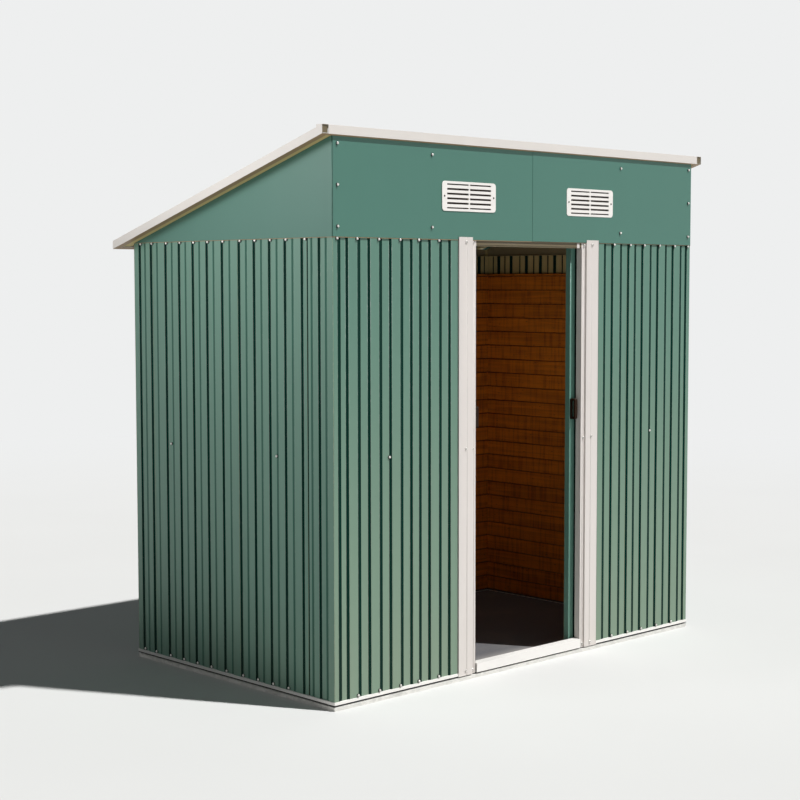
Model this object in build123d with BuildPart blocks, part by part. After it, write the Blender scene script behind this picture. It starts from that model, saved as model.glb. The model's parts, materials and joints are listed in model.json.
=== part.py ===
from build123d import *
import math
import os

os.makedirs("parts", exist_ok=True)

# Metal storage shed with a mono-pitch roof and two sliding doors, in millimetres.
# X runs along the front, +X to the right seen from outside. The front faces -Y.
# Z = 0 is the ground, X = 0 the middle of the doorway, Y = 0 halfway from the
# front roof trim to the rear one.

# Walls
wall_width = 1910.0
wall_depth = 1110.0
wall_height = 1520.0
sheet_thickness = 1.0
rib_depth = 3.5
rib_flank = 9.0
narrowest_flat = 15.0
front_rib_pitch = 97.0
front_first_flat = 19.0
folds_per_front_sheet = 7
front_lap_change = (-10.0, 0.0, 0.0)
side_rib_pitch = 82.0
side_first_flat = 28.5
side_corner_folds = 3
side_corner_pitch = 71.0
side_corner_lap = 50.0
folds_per_side_sheet = 10
side_lap_change = (5.0, 9.0, 3.5)

# Base
sheet_clearance = 30.0
foundation_height = 13.5
foundation_width = 40.0
foundation_reach = 1.5
foundation_wall = 2.0
floor_thickness = 10.0
plate = 2.0
base_lip_reach = 2.5
base_lip_height = 13.0
base_upright_height = 42.0
base_foot_width = 35.0

# Upper front, gables and roof
front_rise = 325.0
roof_fall = 347.0
front_overhang = 12.0
rear_overhang = 62.0
side_overhang = 53.0
trim_height = 30.0
trim_width = 27.0
trim_thickness = 2.0
roof_rib_depth = 8.0
roof_rib_pitch = 97.0
roof_edge_play = 2.0
roof_end_play = 4.0
roof_flat_over_gable = 62.0
fascia_fold = 1.2

# Doorway
opening_width = 570.0
jamb_plate = 1.5
jamb_step_width = 23.0
jamb_face_width = 70.0
jamb_step_depth = 6.5
jamb_face_proud = 4.0
jamb_return_depth = 23.5
jamb_top_lap = 10.0
jamb_panel_gap = 2.5
sill_height = 33.5
sill_gap = 1.5
sill_thickness = 1.5
sill_reach = 5.0
header_drop = 21.0
header_rise = 25.0
header_depth = 44.5
header_lip_drop = 5.0

# Sliding doors
door_width = 325.0
door_setback = 35.0
door_thickness = 23.0
door_skin = 1.2
door_edge_lip = 12.0
door_edge_flat = 27.0
door_ribs = 3
door_show = 25.0
door_bottom_gap = 10.0
door_top_gap = 10.0
hanger_plate = 2.0
hanger_overlap = 55.0
hanger_foot = 3.0
slide_clearance = 0.3
moving_clearance = 6.0

# Door handles
handle_height = 77.0
handle_width = 14.0
handle_reach = 25.0
handle_base = 3.0
handle_grip = 8.0
handle_round = 7.0
handle_cut_margin = 1.0
handle_edge_gap = 2.0
handle_center_height = 928.0

# Vents
vent_width = 268.0
vent_height = 102.0
vent_thickness = 4.0
vent_corner = 12.0
vent_offset = 326.0
vent_center_rise = 148.5
vent_slot_width = 106.0
vent_slot_height = 6.5
vent_end_slot_height = 4.5
vent_slot_pitch = 16.1
vent_rows = 6
vent_mullion = 7.0
vent_cutout_margin = 12.0

# Inner rails, beams and lining
rail_height = 40.0
top_rail_depth = 20.0
mid_rail_depth = 12.0
mid_rail_height = 820.0
top_rail_drop = 30.0
beam_height = 40.0
beam_width = 25.0
beam_places = (-250.0, 200.0)
lining_thickness = 12.0
lining_headroom = 79.0
lining_cap_height = 10.0
lining_cap_reach = 6.0

# Places worked out from the sizes above
half_width = wall_width / 2
sheet_depth = rib_depth + sheet_thickness
total_depth = front_overhang + wall_depth + rear_overhang
trim_front = -total_depth / 2
trim_rear = total_depth / 2
front_face = trim_front + front_overhang
rear_face = trim_rear - rear_overhang
roof_half_width = half_width + side_overhang
sheet_top = sheet_clearance + wall_height
roof_slope = roof_fall / total_depth
roof_angle = math.degrees(math.atan(roof_slope))
trim_low_front = sheet_top + front_rise
front_inner = front_face + sheet_depth
rear_inner = rear_face - sheet_depth
side_inner = half_width - sheet_depth
half_opening = opening_width / 2
jamb_inner_strip = half_opening + jamb_step_width
jamb_outer = jamb_inner_strip + jamb_face_width
door_front = front_face + door_setback
door_rear = door_front + door_thickness
door_lead = half_opening - door_show
sill_top = sheet_clearance - base_lip_height + sill_gap + sill_height
base_inner = base_upright_height + sheet_clearance
header_bottom = sheet_top - header_drop
header_top = sheet_top + header_rise
door_bottom = sill_top - plate - door_bottom_gap
header_lip = sheet_top - header_lip_drop
door_top = header_lip - door_top_gap


def roof_underside(y):
    """Height of the roof sheets' underside, which is the line the wall tops follow."""
    return trim_low_front + trim_thickness - roof_slope * (y - trim_front)


def trim_underside(y):
    """Height of the roof trims' lower edge at a place along the slope."""
    return roof_underside(y) - trim_thickness


def save(piece, name):
    """Label one finished piece and write its STEP file."""
    piece.label = name
    export_step(piece, f"parts/{name}.step")


def block(x, y, z, mode=Mode.ADD):
    """A straight block between the two ends given for each axis."""
    spans = [(min(pair), max(pair)) for pair in (x, y, z)]
    middle = [(low + high) / 2 for low, high in spans]
    size = [high - low for low, high in spans]
    with Locations(tuple(middle)):
        Box(*size, mode=mode)


def even_folds(first, pitch, end):
    """Starts of evenly spaced folds, two to a rib, from the first one to the end."""
    count = math.ceil((end - first) / (pitch / 2))
    return [first + number * pitch / 2 for number in range(count)]


def lapped_folds(first, pitch, folds_per_sheet, lap_change, end):
    """Starts of the folds of sheets that lap over each other, up to the end.

    The lap changes widen the flats after a sheet's first fold, before its last fold and
    after its last fold.
    """
    after_first, before_last, after_last = lap_change
    changes = {0: after_first, folds_per_sheet - 2: before_last, folds_per_sheet - 1: after_last}
    starts = []
    along = first
    while along < end:
        starts.append(along)
        along += pitch / 2 + changes.get((len(starts) - 1) % folds_per_sheet, 0.0)
    return starts


def ribbed_line(length, folds, depth, starts_low=False):
    """Points (along, inward) of a ribbed sheet's outer face, cut off at its length."""
    points = [(0.0, depth if starts_low else 0.0)]
    low = starts_low
    for start in folds:
        before = depth if low else 0.0
        after = 0.0 if low else depth
        points.append((start, before))
        if start + rib_flank >= length:
            share = (length - start) / rib_flank
            points.append((length, before + (after - before) * share))
            return points
        points.append((start + rib_flank, after))
        low = not low
    points.append((length, depth if low else 0.0))
    return points


def sheet_outline(line, thickness):
    """Closed outline of a sheet whose outer face follows the line."""
    inner = [(along, inward + thickness) for along, inward in reversed(line)]
    return line + inner


# Space below the roof sheets, which trims every wall piece to the slope
far = total_depth
with BuildPart() as below_roof:
    with BuildSketch(Plane.YZ.offset(-roof_half_width)):
        with BuildLine():
            Polyline(
                (-far, -sheet_top),
                (far, -sheet_top),
                (far, roof_underside(far)),
                (-far, roof_underside(-far)),
                close=True,
            )
        make_face()
    extrude(amount=2 * roof_half_width)


# Foundation rails on the ground: channels that open downwards
def foundation_rail(x, y, along_x):
    with BuildPart() as rail:
        block(x, y, (0, foundation_height))
        wall = foundation_wall
        if along_x:
            block(x, (y[0] + wall, y[1] - wall), (0, foundation_height - wall), Mode.SUBTRACT)
        else:
            block((x[0] + wall, x[1] - wall), y, (0, foundation_height - wall), Mode.SUBTRACT)
    return rail.part


rail_x = half_width + foundation_reach
rail_front = front_face - foundation_reach
rail_rear = rear_face + foundation_reach
inner_x = rail_x - foundation_width
inner_front = rail_front + foundation_width
inner_rear = rail_rear - foundation_width
save(foundation_rail((-rail_x, rail_x), (rail_front, inner_front), True), "foundation_front")
save(foundation_rail((-rail_x, rail_x), (inner_rear, rail_rear), True), "foundation_rear")
save(foundation_rail((-rail_x, -inner_x), (inner_front, inner_rear), False), "foundation_left")
save(foundation_rail((inner_x, rail_x), (inner_front, inner_rear), False), "foundation_right")

# Floor panel between the foundation rails
with BuildPart() as floor_panel:
    block((-inner_x, inner_x), (inner_front, inner_rear), (0, floor_thickness))
save(floor_panel.part, "floor_panel")


# Base rails: a ledge under the sheets with a lip in front, an upright behind them
# and a foot on the foundation, mitred at the corners
def base_section():
    """Rectangles (inward low, inward high, height low, height high) of a base rail."""
    ledge_low = sheet_clearance - plate
    upright = sheet_depth
    return [
        (-base_lip_reach, upright + plate, ledge_low, sheet_clearance),
        (-base_lip_reach, -base_lip_reach + plate, sheet_clearance - base_lip_height, sheet_clearance),
        (upright, upright + plate, foundation_height, base_inner),
        (upright, upright + base_foot_width, foundation_height, foundation_height + plate),
    ]


def mitre_footprint(side):
    """Plan of one base rail, cut at 45 degrees where it meets the next one."""
    depth = sheet_depth + base_foot_width
    x_out = half_width + base_lip_reach
    x_in = half_width - depth
    front_out = front_face - base_lip_reach
    front_in = front_face + depth
    rear_out = rear_face + base_lip_reach
    rear_in = rear_face - depth
    corners = {
        "front": [(-x_out, front_out), (x_out, front_out), (x_in, front_in), (-x_in, front_in)],
        "rear": [(-x_out, rear_out), (x_out, rear_out), (x_in, rear_in), (-x_in, rear_in)],
        "left": [(-x_out, front_out), (-x_in, front_in), (-x_in, rear_in), (-x_out, rear_out)],
        "right": [(x_out, front_out), (x_in, front_in), (x_in, rear_in), (x_out, rear_out)],
    }
    return corners[side]


def base_rail(side):
    """One base rail of the walls."""
    reach_x = half_width + base_lip_reach
    reach_y = (front_face - base_lip_reach, rear_face + base_lip_reach)
    with BuildPart() as rail:
        for near, far_in, low, high in base_section():
            if side == "front":
                block((-reach_x, reach_x), (front_face + near, front_face + far_in), (low, high))
            elif side == "rear":
                block((-reach_x, reach_x), (rear_face - near, rear_face - far_in), (low, high))
            elif side == "left":
                block((-half_width + near, -half_width + far_in), reach_y, (low, high))
            else:
                block((half_width - near, half_width - far_in), reach_y, (low, high))
        with BuildSketch():
            with BuildLine():
                Polyline(*mitre_footprint(side), close=True)
            make_face()
        extrude(amount=base_inner, mode=Mode.INTERSECT)
        if side == "front":
            step = jamb_inner_strip + jamb_plate
            lip_cut = (front_face - base_lip_reach, front_inner)
            upright_cut = (front_face, front_inner + plate)
            block((-step, step), lip_cut, (0, sheet_clearance), Mode.SUBTRACT)
            block((-step, step), upright_cut, (sill_top - plate, base_inner), Mode.SUBTRACT)
    return rail.part


for wall_side in ("front", "rear", "left", "right"):
    save(base_rail(wall_side), f"base_rail_{wall_side}")


# Ribbed wall sheets, crest first at the corner
def front_ribs(length):
    """Ribbed line of the front and rear walls, from a corner inwards."""
    folds = lapped_folds(
        front_first_flat,
        front_rib_pitch,
        folds_per_front_sheet,
        front_lap_change,
        length,
    )
    return ribbed_line(length, folds, rib_depth)


def side_ribs(length):
    """Ribbed line of a side wall: narrow ribs at both corners and lapped sheets between."""
    corner = [side_first_flat + number * side_corner_pitch / 2 for number in range(side_corner_folds)]
    far_corner = [length - start - rib_flank for start in reversed(corner)]
    sheets = lapped_folds(
        corner[-1] + side_corner_lap,
        side_rib_pitch,
        folds_per_side_sheet,
        side_lap_change,
        far_corner[0] - rib_flank - narrowest_flat,
    )
    if len(sheets) % 2 == 1:
        sheets.pop()
    return ribbed_line(length, corner + sheets + far_corner, rib_depth)


def front_panel(side):
    """Ribbed sheet between a front corner and the door jamb's face."""
    length = half_width - jamb_inner_strip - jamb_plate - jamb_panel_gap
    line = front_ribs(length)
    outline = sheet_outline(line, sheet_thickness)
    with BuildPart() as panel:
        with BuildSketch(Plane.XY.offset(sheet_clearance)):
            with BuildLine():
                Polyline(*[(side * (half_width - u), front_face + v) for u, v in outline], close=True)
            make_face()
        extrude(amount=wall_height)
    return panel.part


def side_wall(side):
    """Ribbed sheets of one side wall, trimmed under the roof."""
    start = front_face + sheet_thickness
    length = rear_face - sheet_thickness - start
    outline = sheet_outline(side_ribs(length), sheet_thickness)
    with BuildPart() as wall:
        with BuildSketch(Plane.XY.offset(sheet_clearance)):
            with BuildLine():
                Polyline(*[(side * (half_width - v), start + u) for u, v in outline], close=True)
            make_face()
        extrude(amount=wall_height)
        add(below_roof.part, mode=Mode.INTERSECT)
    return wall.part


def rear_wall():
    """Ribbed sheets of the rear wall, the same from both corners to the middle."""
    half = front_ribs(half_width)
    far_half = [(wall_width - u, v) for u, v in reversed(half[:-1])]
    outline = sheet_outline(half + far_half, sheet_thickness)
    with BuildPart() as wall:
        with BuildSketch(Plane.XY.offset(sheet_clearance)):
            with BuildLine():
                Polyline(*[(u - half_width, rear_face - v) for u, v in outline], close=True)
            make_face()
        extrude(amount=wall_height)
        add(below_roof.part, mode=Mode.INTERSECT)
    return wall.part


for side_name, side_sign in (("left", -1), ("right", 1)):
    save(front_panel(side_sign), f"front_panel_{side_name}")
    save(side_wall(side_sign), f"side_wall_{side_name}")
save(rear_wall(), "rear_wall")


# Plain upper front panels with a fold at the lower edge and a hole behind each vent
vent_height_center = sheet_top + vent_center_rise


def fascia(side):
    """Upper front panel from a front corner to the middle seam."""
    inner = front_face + sheet_thickness
    hole_x = vent_width / 2 - vent_cutout_margin
    hole_z = vent_height / 2 - vent_cutout_margin / 2
    with BuildPart() as panel:
        block((0, side * half_width), (front_face, inner), (sheet_top, roof_underside(trim_front)))
        fold_end = side * (half_width - sheet_thickness)
        block((0, fold_end), (front_face, front_inner), (sheet_top, sheet_top + fascia_fold))
        center = side * vent_offset
        block(
            (center - hole_x, center + hole_x),
            (front_face - plate, front_inner + plate),
            (vent_height_center - hole_z, vent_height_center + hole_z),
            Mode.SUBTRACT,
        )
        add(below_roof.part, mode=Mode.INTERSECT)
    return panel.part


def gable(side):
    """Plain side panel between the ribbed wall and the roof."""
    with BuildPart() as panel:
        block(
            (side * (half_width - sheet_thickness), side * half_width),
            (front_face + sheet_thickness, rear_face),
            (sheet_top, roof_underside(trim_front)),
        )
        block(
            (side * side_inner, side * half_width),
            (front_inner, rear_inner),
            (sheet_top, sheet_top + fascia_fold),
        )
        add(below_roof.part, mode=Mode.INTERSECT)
    return panel.part


def vent(side):
    """Louvred vent plate with two columns of slots."""
    with BuildPart() as plate_part:
        with BuildSketch(Plane.XZ.offset(-front_face)):
            with Locations((side * vent_offset, vent_height_center)):
                RectangleRounded(vent_width, vent_height, vent_corner)
                spacing = vent_slot_width + vent_mullion
                with GridLocations(spacing, vent_slot_pitch, 2, vent_rows - 2):
                    Rectangle(vent_slot_width, vent_slot_height, mode=Mode.SUBTRACT)
                with GridLocations(spacing, vent_slot_pitch * (vent_rows - 1), 2, 2):
                    Rectangle(vent_slot_width, vent_end_slot_height, mode=Mode.SUBTRACT)
        extrude(amount=vent_thickness)
    return plate_part.part


for side_name, side_sign in (("left", -1), ("right", 1)):
    save(fascia(side_sign), f"fascia_{side_name}")
    save(gable(side_sign), f"gable_{side_name}")
    save(vent(side_sign), f"vent_{side_name}")


# Door jambs: a face, a step back, a strip beside the opening and a return into it
def door_jamb(side):
    """Stepped white jamb on one side of the doorway."""
    face = front_face - jamb_face_proud
    strip = face + jamb_step_depth
    low = sheet_clearance - base_lip_height
    edge = jamb_inner_strip
    with BuildPart() as jamb:
        block((side * edge, side * jamb_outer), (face, face + jamb_plate), (low, sheet_top + jamb_top_lap))
        block(
            (side * (jamb_outer - jamb_plate), side * jamb_outer),
            (face, front_face),
            (sheet_clearance, sheet_top + jamb_top_lap),
        )
        block((side * edge, side * (edge + jamb_plate)), (face, strip + jamb_plate), (low, sheet_top))
        strip_depth = (strip, strip + jamb_plate)
        block((side * half_opening, side * (edge + jamb_plate)), strip_depth, (low, sheet_top))
        block(
            (side * half_opening, side * (half_opening + jamb_plate)),
            (strip, strip + jamb_return_depth),
            (sill_top, header_bottom),
        )
    return jamb.part


for side_name, side_sign in (("left", -1), ("right", 1)):
    save(door_jamb(side_sign), f"door_jamb_{side_name}")

# Door sill between the jambs
sill_rear = door_front - moving_clearance
with BuildPart() as door_sill:
    block(
        (-half_opening, half_opening),
        (front_face - sill_reach, front_face - sill_reach + sill_thickness),
        (sill_top - sill_height, sill_top),
    )
    block((-half_opening, half_opening), (front_face - sill_reach, sill_rear), (sill_top - plate, sill_top))
save(door_sill.part, "door_sill")

# Door header: a channel behind the upper front, with the lip that carries the doors
lip_rear = door_front - moving_clearance
with BuildPart() as door_header:
    block((-side_inner, side_inner), (front_inner, front_inner + plate), (header_bottom, header_top))
    block(
        (-side_inner, side_inner),
        (front_face + sheet_thickness, front_inner + header_depth),
        (header_top - plate, header_top),
    )
    block(
        (-side_inner, side_inner),
        (front_inner + header_depth - plate, front_inner + header_depth),
        (header_lip, header_top),
    )
    block((-side_inner, side_inner), (front_inner, lip_rear), (header_lip, header_lip + plate))
save(door_header.part, "door_header")


# Sliding doors, drawn slid open behind the front panels
def door_panel(side):
    """Ribbed door sheet with folded edges and a closed lower end."""
    flats = 2 * door_ribs - 1
    flat = (door_width - 2 * door_edge_flat - 2 * door_ribs * rib_flank) / flats
    folds = even_folds(door_edge_flat, 2 * (flat + rib_flank), door_width - door_edge_flat)
    line = ribbed_line(door_width, folds, rib_depth)
    outline = sheet_outline(line, sheet_thickness)
    trail = door_lead + door_width
    with BuildPart() as panel:
        with BuildSketch(Plane.XY.offset(door_bottom)):
            with BuildLine():
                Polyline(*[(side * (door_lead + u), door_front + v) for u, v in outline], close=True)
            make_face()
        extrude(amount=door_top - door_bottom)
        for end, inward in ((door_lead, 1), (trail, -1)):
            block(
                (side * end, side * (end + inward * door_skin)),
                (door_front, door_rear),
                (door_bottom, door_top),
            )
            block(
                (side * end, side * (end + inward * door_edge_lip)),
                (door_rear - door_skin, door_rear),
                (door_bottom, door_top),
            )
        block(
            (side * door_lead, side * trail),
            (door_front + rib_depth, door_rear),
            (door_bottom, door_bottom + door_skin),
        )
    return panel.part


def door_hanger(side):
    """Hook rail along a door's top, which runs on the header's lip."""
    plate_front = door_front + sheet_depth
    plate_rear = plate_front + hanger_plate
    foot_low = header_lip + plate + slide_clearance
    foot_high = foot_low + hanger_foot
    near = door_lead + door_skin
    beyond = door_lead + door_width - door_skin
    with BuildPart() as hanger:
        block((side * near, side * beyond), (plate_front, plate_rear), (door_top - hanger_overlap, foot_high))
        foot_front = front_inner + plate + moving_clearance
        block((side * near, side * beyond), (foot_front, plate_rear), (foot_low, foot_high))
    return hanger.part


def door_handle(side):
    """Bow handle on a door's leading edge."""
    near = door_lead + handle_edge_gap
    beyond = near + handle_width
    outer = door_front - handle_reach
    low = handle_center_height - handle_height / 2
    high = handle_center_height + handle_height / 2
    with BuildPart() as handle:
        block((side * near, side * beyond), (outer, door_front), (low, high))
        grip_edges = handle.edges().filter_by(Axis.X).group_by(Axis.Y)[0]
        fillet(grip_edges, radius=handle_round)
        block(
            (side * (near - handle_cut_margin), side * (beyond + handle_cut_margin)),
            (outer + handle_grip, door_front - handle_base),
            (low + handle_grip, high - handle_grip),
            Mode.SUBTRACT,
        )
    return handle.part


for side_name, side_sign in (("left", -1), ("right", 1)):
    save(door_panel(side_sign), f"door_panel_{side_name}")
    save(door_hanger(side_sign), f"door_hanger_{side_name}")
    save(door_handle(side_sign), f"door_handle_{side_name}")


# Inner rails behind the wall sheets
def wall_rail(name, depth, low):
    """Channel rail along the left, right or rear wall, open towards the inside."""
    high = low + rail_height
    start = front_inner + header_depth
    with BuildPart() as rail:
        if name == "rear":
            reach = side_inner - depth
            block((-reach, reach), (rear_inner - plate, rear_inner), (low, high))
            for z in (low, high - plate):
                block((-reach, reach), (rear_inner - depth, rear_inner), (z, z + plate))
        else:
            sign = -1 if name == "left" else 1
            block((sign * (side_inner - plate), sign * side_inner), (start, rear_inner), (low, high))
            for z in (low, high - plate):
                block((sign * (side_inner - depth), sign * side_inner), (start, rear_inner), (z, z + plate))
        add(below_roof.part, mode=Mode.INTERSECT)
    return rail.part


for wall_side in ("left", "right", "rear"):
    save(wall_rail(wall_side, top_rail_depth, sheet_top - top_rail_drop), f"top_rail_{wall_side}")
    save(wall_rail(wall_side, mid_rail_depth, mid_rail_height - rail_height / 2), f"mid_rail_{wall_side}")

# Timber lining on the side and rear walls, each with a capping strip
lining_top = sheet_top - top_rail_drop - lining_headroom
lining_outer = side_inner - mid_rail_depth
lining_inner = lining_outer - lining_thickness
lining_rear = rear_inner - mid_rail_depth


def wall_lining(name):
    """Boards of one wall, from its foot to the capping strip."""
    boards_top = lining_top - lining_cap_height
    heights = (foundation_height + plate, boards_top)
    cap_heights = (boards_top, lining_top)
    cap_inner = lining_inner - lining_cap_reach
    with BuildPart() as lining:
        if name == "rear":
            boards_front = lining_rear - lining_thickness
            block((-lining_inner, lining_inner), (boards_front, lining_rear), heights)
            block((-cap_inner, cap_inner), (boards_front - lining_cap_reach, lining_rear), cap_heights)
        else:
            sign = -1 if name == "left" else 1
            depths = (front_inner + header_depth, lining_rear)
            block((sign * lining_inner, sign * lining_outer), depths, heights)
            block((sign * cap_inner, sign * lining_outer), depths, cap_heights)
    return lining.part


for wall_side in ("left", "right", "rear"):
    save(wall_lining(wall_side), f"wall_lining_{wall_side}")

# Roof beams across the shed, tilted with the roof
for beam_name, beam_y in zip(("front", "rear"), beam_places):
    with BuildPart() as roof_beam:
        beam_plane = Plane(
            origin=(-half_width + sheet_thickness, beam_y, roof_underside(beam_y)),
            x_dir=(0, math.cos(math.radians(roof_angle)), -math.sin(math.radians(roof_angle))),
            z_dir=(1, 0, 0),
        )
        with BuildSketch(beam_plane):
            with Locations((0, -beam_height / 2)):
                Rectangle(beam_width, beam_height)
            with Locations((plate, -beam_height / 2)):
                Rectangle(beam_width, beam_height - 2 * plate, mode=Mode.SUBTRACT)
        extrude(amount=wall_width - 2 * sheet_thickness)
    save(roof_beam.part, f"roof_beam_{beam_name}")


# Roof sheets with ribs that run down the slope
def roof_sheet(side):
    """Half of the roof, from one side trim to the middle seam."""
    reach = roof_half_width - trim_thickness - roof_edge_play
    folds = even_folds(roof_flat_over_gable, roof_rib_pitch, reach)
    line = ribbed_line(reach, folds, roof_rib_depth, starts_low=True)
    outline = sheet_outline(line, sheet_thickness)
    rear_end = trim_rear - trim_thickness - roof_end_play
    front_end = trim_front + trim_thickness + roof_end_play
    top = roof_rib_depth + sheet_thickness
    sheet_plane = Plane(
        origin=(0, rear_end, roof_underside(rear_end)),
        x_dir=(1, 0, 0),
        z_dir=(0, -math.cos(math.radians(roof_angle)), math.sin(math.radians(roof_angle))),
    )
    with BuildPart() as sheet:
        with BuildSketch(sheet_plane):
            with BuildLine():
                Polyline(*[(side * (reach - u), top - v) for u, v in outline], close=True)
            make_face()
        extrude(amount=(rear_end - front_end) / math.cos(math.radians(roof_angle)))
    return sheet.part


for side_name, side_sign in (("left", -1), ("right", 1)):
    save(roof_sheet(side_sign), f"roof_sheet_{side_name}")


# Roof trims: channels that hold the edges of the roof sheets
def side_trim(side):
    """Side trim along the slope, with a short level piece at its front end."""
    cap = trim_height
    rise = trim_height
    low = trim_thickness

    def band(inset, front, step_end):
        """Side view of the trim, drawn in by the inset above and below."""
        return [
            (front, trim_underside(trim_front) + inset - roof_slope * (front - trim_front)),
            (trim_rear, trim_underside(trim_rear) + inset),
            (trim_rear, trim_underside(trim_rear) + rise - inset),
            (step_end, trim_underside(step_end) + rise - inset),
            (step_end, trim_underside(trim_front) + rise - inset),
            (front, trim_underside(trim_front) + rise - inset),
        ]

    with BuildPart() as trim:
        with BuildSketch(Plane.YZ.offset(side * roof_half_width)):
            with BuildLine():
                Polyline(*band(0, trim_front, trim_front + cap), close=True)
            make_face()
        extrude(amount=-side * trim_width)
        with BuildSketch(Plane.YZ.offset(side * (roof_half_width - low))):
            with BuildLine():
                Polyline(*band(low, trim_front, trim_front + cap - low), close=True)
            make_face()
        extrude(amount=-side * trim_width, mode=Mode.SUBTRACT)
    return trim.part


def end_trim(outer, inward, lower_flange):
    """Front or rear trim between the side trims."""
    low = trim_thickness
    span = roof_half_width - trim_width
    inner = outer + inward * trim_width
    stop = outer + inward * lower_flange
    web = outer + inward * low
    bottom = trim_underside
    rise = trim_height
    with BuildPart() as trim:
        with BuildSketch(Plane.YZ.offset(-span)):
            with BuildLine():
                Polyline(
                    (outer, bottom(outer)),
                    (stop, bottom(stop)),
                    (stop, bottom(stop) + low),
                    (web, bottom(web) + low),
                    (web, bottom(web) + rise - low),
                    (inner, bottom(inner) + rise - low),
                    (inner, bottom(inner) + rise),
                    (outer, bottom(outer) + rise),
                    close=True,
                )
            make_face()
        extrude(amount=2 * span)
    return trim.part


for side_name, side_sign in (("left", -1), ("right", 1)):
    save(side_trim(side_sign), f"roof_trim_{side_name}")
save(end_trim(trim_front, 1, front_overhang), "roof_trim_front")
save(end_trim(trim_rear, -1, trim_width), "roof_trim_rear")
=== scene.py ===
"""Looks of the metal storage shed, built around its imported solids."""

import json
import logging
import math
import random
from collections.abc import Sequence
from dataclasses import dataclass, field
from enum import Enum

import bmesh
import bpy
from mathutils import Matrix, Vector


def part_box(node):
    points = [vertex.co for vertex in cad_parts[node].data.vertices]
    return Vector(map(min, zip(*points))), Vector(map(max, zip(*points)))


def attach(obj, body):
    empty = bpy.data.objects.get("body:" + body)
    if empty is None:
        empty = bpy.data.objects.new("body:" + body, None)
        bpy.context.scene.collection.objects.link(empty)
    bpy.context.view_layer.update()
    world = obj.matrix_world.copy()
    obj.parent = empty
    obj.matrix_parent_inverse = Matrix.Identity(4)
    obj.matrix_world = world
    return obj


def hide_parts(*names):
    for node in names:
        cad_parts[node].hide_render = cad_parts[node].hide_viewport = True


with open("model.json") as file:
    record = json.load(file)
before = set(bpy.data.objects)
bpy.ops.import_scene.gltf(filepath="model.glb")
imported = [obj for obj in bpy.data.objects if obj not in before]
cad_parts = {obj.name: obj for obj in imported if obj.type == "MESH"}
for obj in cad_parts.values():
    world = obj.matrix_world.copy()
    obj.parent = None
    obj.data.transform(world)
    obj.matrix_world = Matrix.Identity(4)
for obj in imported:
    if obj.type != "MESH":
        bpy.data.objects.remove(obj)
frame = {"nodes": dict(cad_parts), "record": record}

log = logging.getLogger("shed")

Colour = tuple[float, float, float, float]
Material = bpy.types.Material
Shape = bmesh.types.BMesh
Socket = bpy.types.NodeSocket
Shaded = "Reading | Socket | float"

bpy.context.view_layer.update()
SLOTS = {part["node"]: part["material_slot"] for part in frame["record"]["subparts"]}
SHED = "shed"
WALLS = ("front", "rear", "left", "right")
SMOOTH = {"interpolation_type": "SMOOTHSTEP"}
WELD = 1e-6
CAD_WELD = 1e-5
SHORTEST_LEG = 1e-7
CLOSEST_CORNERS = 1e-4
FLAT_ANGLE = math.radians(1)
SHARP_ANGLE = math.radians(25)
SLIGHTEST_FOLD = 0.02
FACING = 0.3
HALF_WIDTH = 0.955
FRONT = -0.580
REAR = 0.530
DOWN_SLOPE = 347.0 / 1184.0
ACROSS = Vector((1.0, 0.0, 0.0))
BACK = Vector((0.0, 1.0, 0.0))
OUT = Vector((0.0, -1.0, 0.0))
UP = Vector((0.0, 0.0, 1.0))
ROOF_LINE = Vector((0.0, -0.592, 1.877))
ROOF_UP = Vector((0.0, DOWN_SLOPE, 1.0)).normalized()


def tone(red: float, green: float, blue: float) -> Colour:
    """Turn a colour picked on a screen into the linear colour of a shader.

    Args:
        red: Red from 0 to 255.
        green: Green from 0 to 255.
        blue: Blue from 0 to 255.

    Returns:
        The linear colour with an alpha of 1.
    """
    linear = []
    for channel in (red, green, blue):
        share = channel / 255
        linear.append(share / 12.92 if share <= 0.04045 else ((share + 0.055) / 1.055) ** 2.4)
    return (linear[0], linear[1], linear[2], 1.0)


class Side(Enum):
    """The two halves of the shed, seen from the front."""

    LEFT = -1
    RIGHT = 1

    @property
    def label(self) -> str:
        """Word used in the names of nodes and pieces."""
        return self.name.lower()

    @property
    def outward(self) -> Vector:
        """The way from the middle to this side."""
        return ACROSS * self.value

    def at(self, x: float, y: float, z: float) -> Vector:
        """Point on this side, with X counted from the middle outwards."""
        return Vector((self.value * x, y, z))


# Shaders


class Reading:
    """A number read from a shader socket, with ordinary arithmetic on it."""

    def __init__(self, net: "Wiring", socket: Socket) -> None:
        """Keep the socket and the wiring that it belongs to."""
        self.net = net
        self.socket = socket

    def _work(self, operation: str, other: Shaded) -> "Reading":
        """Result of a Math node on this number and another."""
        node = self.net.add("ShaderNodeMath", {"operation": operation}, {0: self, 1: other})
        return Reading(self.net, node.outputs[0])

    def __add__(self, other: Shaded) -> "Reading":
        """Sum of the two."""
        return self._work("ADD", other)

    def __sub__(self, other: Shaded) -> "Reading":
        """This less the other."""
        return self._work("SUBTRACT", other)

    def __mul__(self, other: Shaded) -> "Reading":
        """Product of the two."""
        return self._work("MULTIPLY", other)

    __radd__ = __add__
    __rmul__ = __mul__

    def above(self, low: float, high: float) -> "Reading":
        """Mask that rises smoothly from 0 at the low value to 1 at the high one, which may be the smaller."""
        ends = {"Value": self, "From Min": low, "From Max": high}
        return Reading(self.net, self.net.add("ShaderNodeMapRange", SMOOTH, ends).outputs[0])


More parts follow.
